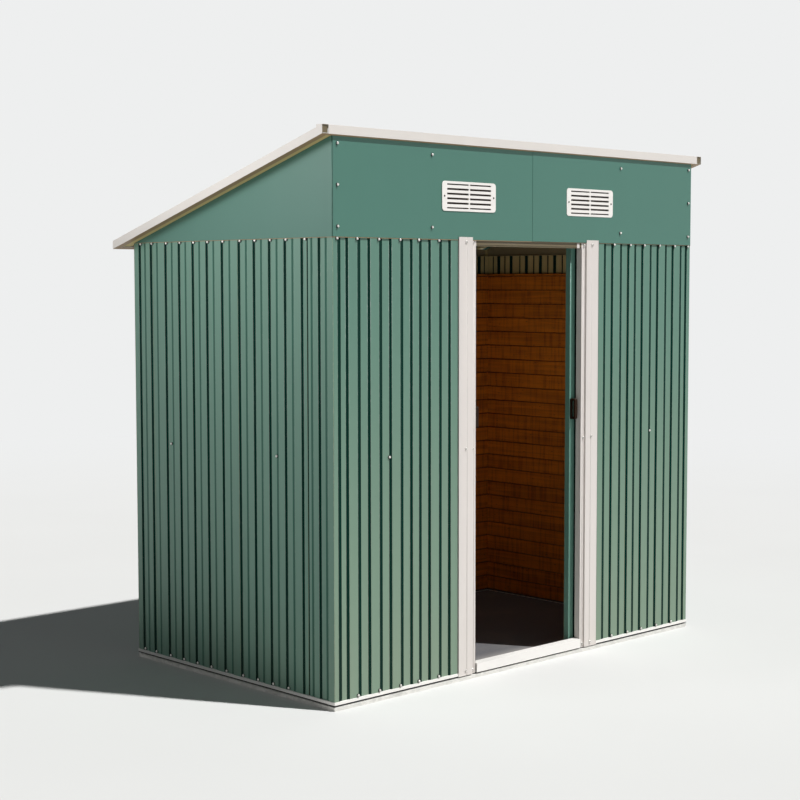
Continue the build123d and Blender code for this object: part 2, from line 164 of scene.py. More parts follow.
class Tree:
    """A node tree and the way to add to it."""

    def __init__(self, tree: bpy.types.NodeTree) -> None:
        """Start with an empty tree."""
        self.tree = tree
        self.tree.nodes.clear()

    def add(
        self,
        kind: str,
        settings: dict[str, object] | None = None,
        inputs: dict[str | int, object] | None = None,
    ) -> bpy.types.Node:
        """Add a node, set its settings first and then its sockets.

        Args:
            kind: The node's type.
            settings: Properties of the node.
            inputs: Values or links by socket name or number.

        Returns:
            The node.
        """
        node = self.tree.nodes.new(kind)
        for key, value in (settings or {}).items():
            setattr(node, key, value)
        for key, value in (inputs or {}).items():
            if isinstance(value, Reading):
                value = value.socket
            if isinstance(value, Socket):
                self.tree.links.new(value, node.inputs[key])
            else:
                node.inputs[key].default_value = value
        return node


class Wiring(Tree):
    """The node tree of one material."""

    def __init__(self, name: str) -> None:
        """Start an empty material.

        Args:
            name: The material's name.
        """
        self.material = bpy.data.materials.new(name)
        self.material.use_nodes = True
        super().__init__(self.material.node_tree)
        self.place = self.add("ShaderNodeTexCoord").outputs["Object"]

    def read(self, name: str) -> Reading:
        """Value of a face attribute by its name."""
        return Reading(self, self.add("ShaderNodeAttribute", {"attribute_name": name}).outputs["Fac"])

    def part(self, number: int, vector: Socket | None = None) -> Reading:
        """X, Y or Z (0, 1 or 2) of a vector, or of the object coordinates when none is given."""
        node = self.add("ShaderNodeSeparateXYZ", None, {0: vector or self.place})
        return Reading(self, node.outputs[number])

    def join(self, x: Shaded, y: Shaded, z: Shaded) -> Socket:
        """Vector made of three numbers."""
        return self.add("ShaderNodeCombineXYZ", None, {0: x, 1: y, 2: z}).outputs[0]

    def facing_up(self) -> Reading:
        """How much the surface faces up."""
        return self.part(2, self.add("ShaderNodeNewGeometry").outputs["Normal"])

    def noise(
        self,
        scale: float,
        detail: float = 2.0,
        stretch: tuple[float, float, float] = (1.0, 1.0, 1.0),
        shift: float = 0.0,
        distortion: float = 0.0,
    ) -> Reading:
        """Cloudy pattern, from 0 to 1.

        Args:
            scale: Clouds per metre.
            detail: Finer layers.
            stretch: Factor on each coordinate.
            shift: Moves the pattern, so that two of them differ.
            distortion: How much it swirls.

        Returns:
            The pattern.
        """
        moved = {"Vector": self.place, "Scale": stretch, "Location": (shift, shift, shift)}
        mapped = self.add("ShaderNodeMapping", None, moved).outputs[0]
        inputs = {"Vector": mapped, "Scale": scale, "Detail": detail, "Distortion": distortion}
        return Reading(self, self.add("ShaderNodeTexNoise", None, inputs).outputs[0])

    def mix(self, share: Shaded, first: object, second: object, way: str = "MIX") -> Socket:
        """Mix two colours or sockets, by a share of the second and a blend type."""
        settings = {"data_type": "RGBA", "blend_type": way}
        return self.add("ShaderNodeMix", settings, {0: share, 6: first, 7: second}).outputs[2]

    def shaded(self, colour: Colour, shade: Reading) -> Socket:
        """The colour times a shade."""
        return self.mix(1.0, colour, self.join(shade, shade, shade), "MULTIPLY")

    def finish(
        self, colour: object, roughness: Shaded, relief: Reading, gloss: float = 0.5, metal: float = 0.0
    ) -> Material:
        """Wire the shader itself.

        Args:
            colour: Base colour.
            roughness: Roughness.
            relief: Height of the surface in metres.
            gloss: How strongly it mirrors, 0.5 for most materials.
            metal: How metallic it is.

        Returns:
            The material.
        """
        bump = self.add("ShaderNodeBump", None, {"Strength": 1.0, "Distance": 1.0, "Height": relief})
        inputs = {"Base Color": colour, "Roughness": roughness, "Normal": bump.outputs[0]}
        inputs |= {"Specular IOR Level": gloss, "Metallic": metal}
        shader = self.add("ShaderNodeBsdfPrincipled", None, inputs)
        self.add("ShaderNodeOutputMaterial", None, {"Surface": shader.outputs[0]})
        return self.material


@dataclass(frozen=True)
class SheetPaint:
    """Satin stove paint on sheet metal, with weathering."""

    name: str
    colour: Colour
    roughness: float = 0.42
    gloss: float = 0.5
    waviness: float = 0.0006
    dust: float = 0.22
    wear: float = 0.35
    fade: float = 0.0
    fade_colour: Colour = tone(150, 160, 134)
    dust_colour: Colour = tone(150, 142, 122)
    wear_colour: Colour = tone(176, 182, 176)

    def material(self) -> Material:
        """Build the material of the paint.

        Returns:
            The material.
        """
        net = Wiring(self.name)
        cloud = net.noise(1.7, 3.0)
        streak = net.noise(9.0, 3.0, (1.0, 1.0, 0.06), 3.1)
        speck = net.noise(160.0, 2.0, shift=7.7)
        height = net.part(2)
        colour = net.shaded(self.colour, 0.94 + 0.08 * cloud + 0.05 * streak)
        faded = height.above(1.5, 0.1) * (0.8 + 0.2 * streak) * self.fade
        colour = net.mix(faded, colour, self.fade_colour)
        splash = height.above(0.42, 0.02) * (0.35 + 0.65 * speck) * streak.above(0.2, 0.75)
        settled = net.facing_up().above(0.6, 0.98) * (0.5 + 0.5 * net.noise(6.0, 4.0, shift=1.4))
        dust = (splash + 0.6 * settled) * self.dust
        colour = net.mix(dust, colour, self.dust_colour)
        worn = net.read("edge") * net.noise(70.0, 3.0, shift=5.0).above(0.48, 0.66) * self.wear
        colour = net.mix(worn, colour, self.wear_colour)
        rough = self.roughness + 0.07 * (cloud - 0.5) + 0.05 * (speck - 0.5) + 0.35 * dust
        waves = self.waviness * net.noise(4.0, 1.0, (1.0, 1.0, 0.6), 2.2)
        return net.finish(colour, rough, waves + 0.000012 * net.noise(650.0, 1.0), self.gloss)


@dataclass(frozen=True)
class ZincCoat:
    """Zinc-coated steel with its spangle."""

    name: str
    colour: Colour = tone(176, 180, 182)
    grain: float = 55.0
    roughness: float = 0.42
    metal: float = 0.85
    stain_colour: Colour = tone(120, 118, 112)

    def material(self) -> Material:
        """Build the material of the coat.

        Returns:
            The material.
        """
        net = Wiring(self.name)
        spots = {"Vector": net.place, "Scale": self.grain}
        flakes = net.add("ShaderNodeTexVoronoi", {"feature": "F1"}, spots)
        flake = net.part(0, flakes.outputs["Color"])
        cloud = net.noise(8.0, 3.0)
        colour = net.shaded(self.colour, 0.82 + 0.16 * flake + 0.08 * cloud)
        stain = cloud.above(0.52, 0.7) * 0.3
        colour = net.mix(stain, colour, self.stain_colour)
        rough = self.roughness + 0.12 * (flake - 0.5) + 0.2 * stain
        return net.finish(colour, rough, 0.00002 * net.noise(240.0, 2.0), metal=self.metal)


@dataclass(frozen=True)
class Moulding:
    """Moulded plastic with a fine matt texture."""

    name: str
    colour: Colour
    roughness: float = 0.5
    gloss: float = 0.5
    dust: float = 0.12
    dust_colour: Colour = tone(150, 142, 125)

    def material(self) -> Material:
        """Build the material of the plastic.

        Returns:
            The material.
        """
        net = Wiring(self.name)
        cloud = net.noise(14.0, 3.0)
        fine = net.noise(900.0, 2.0)
        dust = (0.4 * cloud.above(0.4, 0.8) + net.facing_up().above(0.3, 0.9)) * self.dust
        colour = net.mix(dust, self.colour, self.dust_colour)
        polish = net.read("edge") * net.noise(90.0, 2.0, shift=4.0).above(0.4, 0.7)
        rough = self.roughness + 0.08 * (cloud - 0.5) - 0.15 * polish
        return net.finish(colour, rough, 0.00002 * fine + 0.0001 * cloud, self.gloss)


@dataclass(frozen=True)
class FloorBoard:
    """Grey floor board with a fine pressed grain."""

    name: str
    colour: Colour = tone(84, 84, 87)
    speck_colour: Colour = tone(106, 106, 109)
    dust_colour: Colour = tone(140, 134, 124)
    trodden_colour: Colour = tone(176, 171, 165)

    def material(self) -> Material:
        """Build the material of the board's face.

        Returns:
            The material.
        """
        net = Wiring(self.name)
        grain = net.noise(420.0, 3.0)
        cloud = net.noise(3.5, 4.0, shift=2.0)
        colour = net.mix(grain.above(0.42, 0.68), self.colour, self.speck_colour)
        colour = net.mix(cloud.above(0.5, 0.8) * 0.3, colour, self.dust_colour)
        # Painted pool of sunlight: the floor turns pale towards the doorway
        sunlit_patch = net.part(1).above(-0.36, -0.50) * (0.72 + 0.28 * cloud)
        colour = net.mix(sunlit_patch, colour, self.trodden_colour)
        return net.finish(colour, 0.78 + 0.12 * (grain - 0.5), 0.0002 * grain)


@dataclass(frozen=True)
class StainedBoard:
    """Stained softwood boards, one tone to a board."""

    name: str
    light: Colour = tone(232, 134, 27)
    dark: Colour = tone(150, 79, 13)
    knot: Colour = tone(70, 34, 10)

    def material(self) -> Material:
        """Build the material of the wood.

        Returns:
            The material.
        """
        net = Wiring(self.name)
        board = net.read("board")
        ways = {0: net.read("turned"), 4: net.place, 5: net.join(net.part(1), net.part(0), net.part(2))}
        lengthwise = net.add("ShaderNodeMix", {"data_type": "VECTOR"}, ways).outputs[1]
        both = {0: lengthwise, 1: net.join(board * 3.0, board * 17.0, board * 5.0)}
        net.place = net.add("ShaderNodeVectorMath", {"operation": "ADD"}, both).outputs[0]
        figure = net.noise(1.0, 4.0, (30.0, 2.6, 60.0), distortion=0.8)
        fibre = net.noise(1.0, 3.0, (260.0, 7.0, 420.0), 1.3)
        blotch = net.noise(7.0, 3.0, shift=9.0)
        saw_marks = net.noise(1.0, 2.0, (6.0, 75.0, 5.0), 4.4)
        drawn = net.add("ShaderNodeMapping", None, {"Vector": net.place, "Scale": (2.0, 3.2, 14.0)})
        knots = net.add("ShaderNodeTexVoronoi", {"feature": "F1"}, {"Vector": drawn.outputs[0]})
        knot = Reading(net, knots.outputs["Distance"]).above(0.13, 0.05)
        share = 0.45 * figure.above(0.3, 0.7) + 0.2 * fibre + 0.2 * board
        colour = net.mix(share + 0.35 * saw_marks.above(0.45, 0.7), self.light, self.dark)
        colour = net.mix(blotch.above(0.5, 0.75) * 0.3, colour, self.dark)
        colour = net.mix(knot * 0.75, colour, self.knot)
        colour = net.mix(net.read("edge") * 0.55, colour, self.knot)
        rough = 0.56 + 0.14 * (fibre - 0.5) + 0.1 * figure
        return net.finish(colour, rough, 0.00025 * fibre + 0.0003 * figure)


@dataclass(frozen=True)
class ScrewSteel:
    """Bright plated steel of the screws."""

    name: str
    colour: Colour = tone(232, 229, 224)
    dull_colour: Colour = tone(138, 134, 126)

    def material(self) -> Material:
        """Build the material of the plating.

        Returns:
            The material.
        """
        net = Wiring(self.name)
        dull = net.noise(120.0, 3.0).above(0.45, 0.7)
        colour = net.mix(dull * 0.45, self.colour, self.dull_colour)
        return net.finish(colour, 0.3 + 0.22 * dull, 0.00003 * net.noise(700.0, 1.0), metal=0.4)


class Finishes:
    """Every finish of the shed, built once."""

    def __init__(self) -> None:
        """Build all the materials."""
        self.ribbed = SheetPaint("ribbed_green", tone(97, 135, 119)).material()
        self.front = SheetPaint("front_green", tone(88, 126, 111), fade=0.42).material()
        # Painted shade: the rib flanks in near-black green, and the side walls' falling flanks in a shaded
        # teal
        self.flank = SheetPaint("flank_green", tone(7, 42, 34), 0.6, 0.06, dust=0.04, wear=0.0).material()
        self.fold = SheetPaint("fold_green", tone(48, 92, 78), 0.55, 0.2, dust=0.1, wear=0.0).material()
        self.plain = SheetPaint("plain_green", tone(70, 115, 102), waviness=0.0009, wear=0.06).material()
        self.door = SheetPaint("door_green", tone(96, 140, 126)).material()
        self.roof = SheetPaint("roof_green", tone(84, 122, 107), 0.52, dust=0.3).material()
        self.back_coat = SheetPaint("back_coat", tone(196, 178, 124), 0.6, 0.3, dust=0.1).material()
        self.white = SheetPaint("frame_white", tone(215, 208, 203), 0.4, dust=0.12).material()
        self.sill = SheetPaint("sill_white", tone(236, 233, 229), 0.4, dust=0.1).material()
        self.trim = SheetPaint("trim_white", tone(219, 213, 207), 0.45, dust=0.12).material()
        # Painted shade: the header is white steel shaded under the front sheets, and this taupe also paints
        # the shade in the trims' hollow ends
        self.header = SheetPaint("header_taupe", tone(103, 92, 68), 0.5, wear=0.08).material()
        # Painted warm bounce light: the tan of the rail edge below the front sheets and of the trims' shaded
        # undersides
        self.edge_tan = SheetPaint("edge_tan", tone(150, 122, 88), 0.5, wear=0.1).material()
        self.rail = SheetPaint("rail_primer", tone(150, 136, 104), 0.55).material()
        self.zinc = ZincCoat("zinc").material()
        self.pale_zinc = ZincCoat("pale_zinc", tone(222, 220, 214), roughness=0.55, metal=0.15).material()
        # Black rubber for the screw washers, also standing in for the screws' cast shadows; on the base
        # rails' foot it is a painted shadow gap
        self.rubber = Moulding("washer_rubber", tone(16, 17, 17), 0.6).material()
        self.vent = Moulding("vent_white", tone(238, 234, 229)).material()
        # Painted shade: the blades are dark brown, so that the slots read as shaded openings
        self.vent_blade = Moulding("vent_blade_brown", tone(52, 38, 26), 0.7).material()
        self.handle = Moulding("handle_brown", tone(40, 25, 15), 0.6, 0.08, 0.02).material()
        self.floor = FloorBoard("floor_board").material()
        self.boards = StainedBoard("lining_board").material()
        self.screw = ScrewSteel("screw_steel").material()


# Making pieces


def place(
    name: str,
    shape: Shape,
    finishes: Sequence[Material],
    node: str = "",
    slot: str = "",
    body: str = SHED,
) -> None:
    """Make a piece of a finished shape and let it ride on its body.

    Args:
        name: The piece's name.
        shape: The shape, freed afterwards.
        finishes: Its materials in the order of their numbers.
        node: CAD node that it replaces, if any.
        slot: The record's material slot, for a piece that replaces no node; not used.
        body: The body it rides on.
    """
    mesh = bpy.data.meshes.new(name)
    shape.to_mesh(mesh)
    shape.free()
    for material in finishes:
        mesh.materials.append(material)
    piece = bpy.data.objects.new(name, mesh)
    bpy.context.scene.collection.objects.link(piece)
    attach(piece, body)
    if node:
        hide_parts(node)
    log.info("%s: %d faces on %s", name, len(mesh.polygons), body)


def face_layer(shape: Shape, name: str) -> bmesh.types.BMLayerItem:
    """Number kept on each face under a name, made if it isn't there."""
    return shape.faces.layers.float.get(name) or shape.faces.layers.float.new(name)


def bevel(shape: Shape, parts: Sequence, width: float, steps: int, affect: str) -> Sequence:
    """Bevel edges or corners.

    Args:
        shape: The shape.
        parts: Its edges or corners.
        width: Width of the bevel.
        steps: Faces across it.
        affect: "EDGES" or "VERTICES".

    Returns:
        The new faces.
    """
    settings = {"offset": width, "offset_type": "OFFSET", "segments": steps, "profile": 0.5}
    settings |= {"affect": affect, "clamp_overlap": True, "material": -1}
    return bmesh.ops.bevel(shape, geom=list(parts), **settings)["faces"]


def split(shape: Shape, point: Vector, across: Vector, drop: bool = False) -> None:
    """Cut all faces along a plane, and drop what lies on its far side if that is asked for."""
    parts = list(shape.verts) + list(shape.edges) + list(shape.faces)
    bmesh.ops.bisect_plane(shape, geom=parts, dist=WELD, plane_co=point, plane_no=across, clear_outer=drop)


def flatten(shape: Shape, angle: float) -> None:
    """Join faces that lie in one plane, within an angle, and keep the borders."""
    limits = {"angle_limit": angle, "use_dissolve_boundaries": False}
    bmesh.ops.dissolve_limit(shape, verts=shape.verts, edges=shape.edges, **limits)


def round_edges(shape: Shape, edges: Sequence[bmesh.types.BMEdge], radius: float, steps: int = 2) -> None:
    """Round edges and mark the new faces as edge faces, shaded smooth.

    Args:
        shape: The shape.
        edges: The edges to round.
        radius: Width of the rounding.
        steps: Faces across it.
    """
    layer = face_layer(shape, "edge")
    for face in bevel(shape, edges, radius, steps, "EDGES"):
        face[layer] = 1.0
        face.smooth = True


def softened(node: str, radius: float, steps: int = 2) -> Shape:
    """Copy a CAD node with its sharp edges rounded.

    Args:
        node: The node's name.
        radius: Width of the rounding.
        steps: Faces across it.

    Returns:
        The shape.
    """
    shape = bmesh.new()
    shape.from_mesh(frame["nodes"][node].data)
    bmesh.ops.remove_doubles(shape, verts=shape.verts, dist=CAD_WELD)
    flatten(shape, FLAT_ANGLE)
    for face in shape.faces:
        face.smooth = False
    sharp = [edge for edge in shape.edges if edge.is_manifold and edge.calc_face_angle(0.0) > SHARP_ANGLE]
    round_edges(shape, sharp, radius, steps)
    return shape


def roof_height(y: float) -> float:
    """Height of the roof sheets' underside at a place along Y."""
    return ROOF_LINE.z - DOWN_SLOPE * (y - ROOF_LINE.y)


def merge(shape: Shape, other: Shape) -> None:
    """Add another shape to a shape and free it.

    Args:
        shape: The shape that grows.
        other: The shape that is added.
    """
    carrier = bpy.data.meshes.new("carrier")
    other.to_mesh(carrier)
    other.free()
    shape.from_mesh(carrier)
    bpy.data.meshes.remove(carrier)


def solidify_inwards(shape: Shape, thickness: float) -> None:
    """Give an open sheet its thickness, with all its faces looking outwards.

    Args:
        shape: The sheet.
        thickness: Of the material.
    """
    bmesh.ops.solidify(shape, geom=list(shape.faces), thickness=thickness)
    shape.normal_update()
    if shape.calc_volume(signed=True) < 0:
        bmesh.ops.reverse_faces(shape, faces=list(shape.faces))
    shape.normal_update()


def cut_hole(shape: Shape, low: Vector, high: Vector) -> None:
    """Cut a rectangular hole in a sheet that faces along Y.

    Args:
        shape: The sheet.
        low: Lowest corner of the hole.
        high: Highest corner of the hole.
    """
    for point, across in ((low, ACROSS), (high, ACROSS), (low, UP), (high, UP)):
        split(shape, point, across)
    inside = []
    for face in shape.faces:
        middle = face.calc_center_median()
        if low.x < middle.x < high.x and low.z < middle.z < high.z and abs(face.normal.y) > 0.5:
            inside.append(face)
    bmesh.ops.delete(shape, geom=inside, context="FACES")


class FoldedStrip:
    """A strip of sheet metal, folded leg by leg and then drawn out along its length."""

    def __init__(self, start: Vector, *legs: Vector) -> None:
        """Fold the section from its start, and leave out legs without length.

        Args:
            start: One end of the section.
            legs: From each point to the next one.
        """
        self.shape = bmesh.new()
        tip = bmesh.ops.create_vert(self.shape, co=start)["vert"][0]
        for leg in legs:
            if leg.length > SHORTEST_LEG:
                tip = bmesh.ops.extrude_vert_indiv(self.shape, verts=[tip])["verts"][0]
                bmesh.ops.translate(self.shape, verts=[tip], vec=leg)

    @classmethod
    def through(cls, points: Sequence[Vector]) -> "FoldedStrip":
        """Fold a section through some points."""
        return cls(points[0], *(after - before for before, after in zip(points, points[1:])))

    def draw(
        self,
        along: Vector,
        outward: Vector,
        thickness: float,
        radius: float = 0.0,
        steps: int = 2,
        under_roof: bool = False,
        hole: Sequence[Vector] = (),
    ) -> Shape:
        """Draw the section out into a sheet, round its folds and give it its thickness inwards.

        Vertices that fall together, where a rounded fold ends on the next corner, are welded.

        Args:
            along: Direction and length.
            outward: The way that the outer face looks, for most of the legs.
            thickness: Of the metal.
            radius: Width of each fold's rounding.
            steps: Faces across a fold.
            under_roof: Whether to drop what would reach into the roof.
            hole: Lowest and highest corner of a hole, if there is one.

        Returns:
            The finished shape.
        """
        shape = self.shape
        made = bmesh.ops.extrude_edge_only(shape, edges=list(shape.edges))
        moved = [item for item in made["geom"] if isinstance(item, bmesh.types.BMVert)]
        bmesh.ops.translate(shape, verts=moved, vec=along)
        shape.normal_update()
        if sum((face.normal.dot(outward) * face.calc_area() for face in shape.faces), 0.0) < 0:
            bmesh.ops.reverse_faces(shape, faces=list(shape.faces))
        inner = [edge for edge in shape.edges if len(edge.link_faces) == 2]
        folds = [edge for edge in inner if edge.calc_face_angle(0.0) > SLIGHTEST_FOLD]
        if folds and radius > 0:
            round_edges(shape, folds, radius, steps)
        if under_roof:
            split(shape, ROOF_LINE, ROOF_UP, drop=True)
        if hole:
            cut_hole(shape, *hole)
        bmesh.ops.remove_doubles(shape, verts=list(shape.verts), dist=WELD)
        solidify_inwards(shape, thickness)
        return shape


def even_folds(first: float, pitch: float, end: float) -> list[float]:
    """Starts of evenly spaced folds, two to a rib, from the first one to the end."""
    return [first + number * pitch / 2 for number in range(math.ceil((end - first) / (pitch / 2)))]


def lapped_folds(first: float, pitch: float, count: int, changes: Sequence[float], end: float) -> list[float]:
    """Folds of sheets that lap over each other.

    Args:
        first: Start of the first fold.
        pitch: Width of a rib with its valley.
        count: Folds in a sheet.
        changes: How much wider the flats are after a sheet's first fold, before its last
            fold and after it.
        end: No fold starts beyond it.

    Returns:
        Where the folds start.
    """
    wider = {0: changes[0], count - 2: changes[1], count - 1: changes[2]}
    starts: list[float] = []
    along = first
    while along < end:
        starts.append(along)
        along += pitch / 2 + wider.get((len(starts) - 1) % count, 0.0)
    return starts


@dataclass(frozen=True)
class RibPattern:
    """The folds of a ribbed sheet along its width, in metres."""

    starts: tuple[float, ...]
    depth: float = 0.0035
    flank: float = 0.009
    starts_low: bool = False
    # The next two widths spread a fold's painted shade onto the valley at its foot; lap_shade is the width of
    # a painted shadow beside each lap edge
    rise_hollow: float = 0.0
    fall_hollow: float = 0.005
    laps: tuple[float, ...] = ()
    lap_shade: float = 0.006

    def _spans(self) -> list[tuple[float, float, int]]:
        """Find the folds and lap edges, some with a narrow strip of painted shade at the flank's foot.

        Returns:
            Begin, end and kind of each: 1 rises or is a lap edge with a painted shadow along it, 2 falls.
        """
        spans = [(lap - self.lap_shade, lap, 1) for lap in self.laps]
        for number, start in enumerate(self.starts):
            if (number % 2 == 0) != self.starts_low:
                spans.append((start, start + self.flank + self.fall_hollow, 2))
            else:
                spans.append((start - self.rise_hollow, start + self.flank, 1))
        return spans

    def fold_at(self, along: float) -> int:
        """Kind of fold at a place along the wall, or 0 on a flat."""
        return next((kind for begin, end, kind in self._spans() if begin < along < end), 0)

    def depth_at(self, along: float) -> float:
        """Find how far inwards the sheet lies.

        Args:
            along: Place along the wall.

        Returns:
            The depth.
        """
        level = 1.0 if self.starts_low else 0.0
        for number, start in enumerate(self.starts):
            target = float((number % 2 == 0) != self.starts_low)
            if along >= start + self.flank:
                level = target
            elif along > start:
                level += (target - level) * (along - start) / self.flank
        return level * self.depth

    def corners(self, begin: float, end: float) -> list[float]:
        """Find the section's corners.

        Args:
            begin: First place along the wall.
            end: Last place.

        Returns:
            The places, with both ends.
        """
        inner = {start + self.flank for start in self.starts}
        for low, high, _ in self._spans():
            inner |= {low, high}
        first, last = begin + CLOSEST_CORNERS, end - CLOSEST_CORNERS
        return [begin] + [spot for spot in sorted(inner) if first < spot < last] + [end]

    def number_faces(
        self, shape: Shape, outward: Vector, start: Vector, across: Vector, edges_are_back: bool = True
    ) -> None:
        """Number a sheet's materials: 0 for its flats, 1 for its back, 2 and 3 for its folds, whose finishes
        are painted shade.

        Args:
            shape: The sheet.
            outward: The way that its face looks.
            start: Where the pattern starts.
            across: The way that the pattern runs.
            edges_are_back: Whether the folded edges count as the back.
        """
        limit = FACING if edges_are_back else -FACING
        for face in shape.faces:
            facing = face.normal.dot(outward)
            fold = self.fold_at((face.calc_center_median() - start).dot(across))
            if fold and abs(facing) > FACING:
                face.material_index = 1 + fold if facing > 0 else 2
            elif facing < limit:
                face.material_index = 1


@dataclass(frozen=True)
class LappedSheet:
    """One sheet of a ribbed wall: where it begins and ends, and how far it stands proud."""

    begin: float
    end: float
    proud: float
    first_flange: float = 0.0
    last_flange: float = 0.0


@dataclass(frozen=True)
class RibbedWall:
    """A wall of upright ribbed sheets that lap over each other."""

    node: str
    name: str
    corner: Vector
    along: Vector
    outward: Vector
    pattern: RibPattern
    sheets: tuple[LappedSheet, ...]
    screw_places: tuple[float, ...]
    middle_screws: tuple[float, ...]
    coats: tuple[Material, ...]
    height: float = 1.52
    thickness: float = 0.0004
    fold_radius: float = 0.0012

    def build(self) -> None:
        """Fold each sheet and trim it under the roof."""
        for number, sheet in enumerate(self.sheets, 1):
            spots = self.pattern.corners(sheet.begin, sheet.end)
            points = [self.point(spot, sheet.proud) for spot in spots]
            first = points[0] - self.outward * sheet.first_flange
            last = points[-1] - self.outward * sheet.last_flange
            strip = FoldedStrip.through([first, *points, last])
            run = UP * self.height
            shape = strip.draw(run, self.outward, self.thickness, self.fold_radius, under_roof=True)
            self.pattern.number_faces(shape, self.outward, self.corner, self.along)
            place(f"{self.name}_{number}", shape, self.coats, self.node)

    def point(self, along: float, proud: float = 0.0) -> Vector:
        """Point at the sheet's foot by its place along the wall and how far it stands outside the face."""
        return self.corner + self.along * along + self.outward * (proud - self.pattern.depth_at(along))


@dataclass
class Walls:
    """The ribbed walls."""

    finishes: Finishes
    foot: float = 0.030
    sheet: float = 0.001
    panel_length: float = 0.643
    lap: float = 0.0005
    first_lap: tuple[float, float] = (0.362, 0.398)
    second_lap: tuple[float, float] = (0.693, 0.729)
    middle_lap: float = 0.014
    side_laps: tuple[tuple[float, float], ...] = ((0.1318, 0.146), (0.4938, 0.514), (0.9950, 1.010))
    front_pitch: float = 0.097
    front_first: float = 0.019
    front_folds: int = 7
    front_changes: tuple[float, float, float] = (-0.010, 0.0, 0.0)
    side_pitch: float = 0.082
    side_first: float = 0.0285
    side_folds: int = 10
    side_changes: tuple[float, float, float] = (0.005, 0.009, 0.0035)
    side_corner_pitch: float = 0.071
    side_corner_lap: float = 0.050
    narrowest_flat: float = 0.015
    # Widths of painted shade at a flank's foot, the narrow one and the wide one
    near_hollow: float = 0.0010
    far_hollow: float = 0.0075
    corner_flange: float = 0.014
    screw_edge: float = 0.003
    first_side_screw: float = 0.136
    shown_panel: float = 0.56
    front_middle_screws: tuple[float, ...] = (0.250,)
    side_middle_screws: tuple[float, ...] = (0.2895, 0.8895)
    rear_middle_screws: tuple[float, ...] = (0.245, 0.735)
    walls: list[RibbedWall] = field(default_factory=list)

    def build(self) -> None:
        """Build the walls' sheets."""
        for side in Side:
            self.walls += [self._front(side), self._side(side), self._rear(side)]
        for wall in self.walls:
            wall.build()

    def _front_pattern(self, side: Side, length: float) -> RibPattern:
        """Lay out the ribs of the front and rear walls, from a corner inwards.

        Args:
            side: Which corner. The wider strip of painted shade lies at the flank that falls to the right.
            length: No fold starts beyond it.

        Returns:
            The pattern.
        """
        starts = lapped_folds(
            self.front_first, self.front_pitch, self.front_folds, self.front_changes, length
        )
        rise, fall = (self.near_hollow, self.far_hollow)[:: -side.value]
        return RibPattern(tuple(starts), rise_hollow=rise, fall_hollow=fall)

    def _side_pattern(self, length: float) -> RibPattern:
        """Lay out the ribs of a side wall: narrow ones at both corners and lapped sheets between.

        Args:
            length: Of the wall.

        Returns:
            The pattern.
        """
        corner = [self.side_first + number * self.side_corner_pitch / 2 for number in range(3)]
        far_corner = [length - start - RibPattern.flank for start in reversed(corner)]
        first = corner[-1] + self.side_corner_lap
        end = far_corner[0] - RibPattern.flank - self.narrowest_flat
        sheets = lapped_folds(first, self.side_pitch, self.side_folds, self.side_changes, end)
        if len(sheets) % 2 == 1:
            sheets.pop()
        return RibPattern(tuple(corner + sheets + far_corner), laps=(self.side_laps[0][0],))

    def _beside(self, pattern: RibPattern, length: float, odd: int) -> tuple[float, ...]:
        """Places of screws up to a length, just before each fold that falls (0) or rises (1)."""
        return tuple(start - self.screw_edge for start in pattern.starts[odd::2] if start < length)

    def _front(self, side: Side) -> RibbedWall:
        """Lay out two lapped sheets between a front corner and the doorway.

        Args:
            side: Which corner.

        Returns:
            The wall.
        """
        pattern = self._front_pattern(side, self.panel_length)
        begin, end = self.first_lap
        coats = self.finishes
        return RibbedWall(
            f"front_panel_{side.label}",
            f"front_sheet_{side.label}",
            side.at(HALF_WIDTH, FRONT, self.foot),
            -side.outward,
            OUT,
            pattern,
            (LappedSheet(0.0, end, self.lap), LappedSheet(begin, self.panel_length, 0.0)),
            self._beside(pattern, self.shown_panel, 0),
            self.front_middle_screws,
            (coats.front, coats.back_coat, coats.flank, coats.flank),
        )

    def _side(self, side: Side) -> RibbedWall:
        """Lay out four lapped sheets that are folded round both corners.

        Args:
            side: Which wall.

        Returns:
            The wall.
        """
        over = self.lap
        length = REAR - FRONT - 2 * self.sheet
        pattern = self._side_pattern(length)
        (first, first_end), (second, second_end), (third, third_end) = self.side_laps
        coats = self.finishes
        return RibbedWall(
            f"side_wall_{side.label}",
            f"side_sheet_{side.label}",
            side.at(HALF_WIDTH, FRONT + self.sheet, self.foot),
            BACK,
            side.outward,
            pattern,
            (
                LappedSheet(-over, first_end, 0.0, first_flange=self.corner_flange),
                LappedSheet(first, second_end, over),
                LappedSheet(second, third_end, 2 * over),
                LappedSheet(third, length + over, 3 * over, last_flange=self.corner_flange),
            ),
            (self.first_side_screw, *self._beside(pattern, length, 1)[2:]),
            self.side_middle_screws,
            (coats.ribbed, coats.back_coat, coats.flank, coats.fold),
        )

    def _rear(self, side: Side) -> RibbedWall:
        """Lay out three lapped sheets from a rear corner to the middle, where the left one goes on.

        Args:
            side: Which corner.

        Returns:
            The wall.
        """
        pattern = self._front_pattern(side, HALF_WIDTH)
        left = side is Side.LEFT
        (first, first_end), (second, second_end) = self.first_lap, self.second_lap
        end = HALF_WIDTH + (self.middle_lap if left else 0.0)
        coats = self.finishes
        return RibbedWall(
            "rear_wall",
            f"rear_sheet_{side.label}",
            side.at(HALF_WIDTH, REAR, self.foot),
            -side.outward,
            BACK,
            pattern,
            (
                LappedSheet(0.0, first_end, 3 * self.lap),
                LappedSheet(first, second_end, 2 * self.lap),
                LappedSheet(second, end, 0.0 if left else self.lap),
            ),
            self._beside(pattern, HALF_WIDTH, 0),
            self.rear_middle_screws,
            (coats.ribbed, coats.back_coat, coats.flank, coats.flank),
        )


# Upper walls


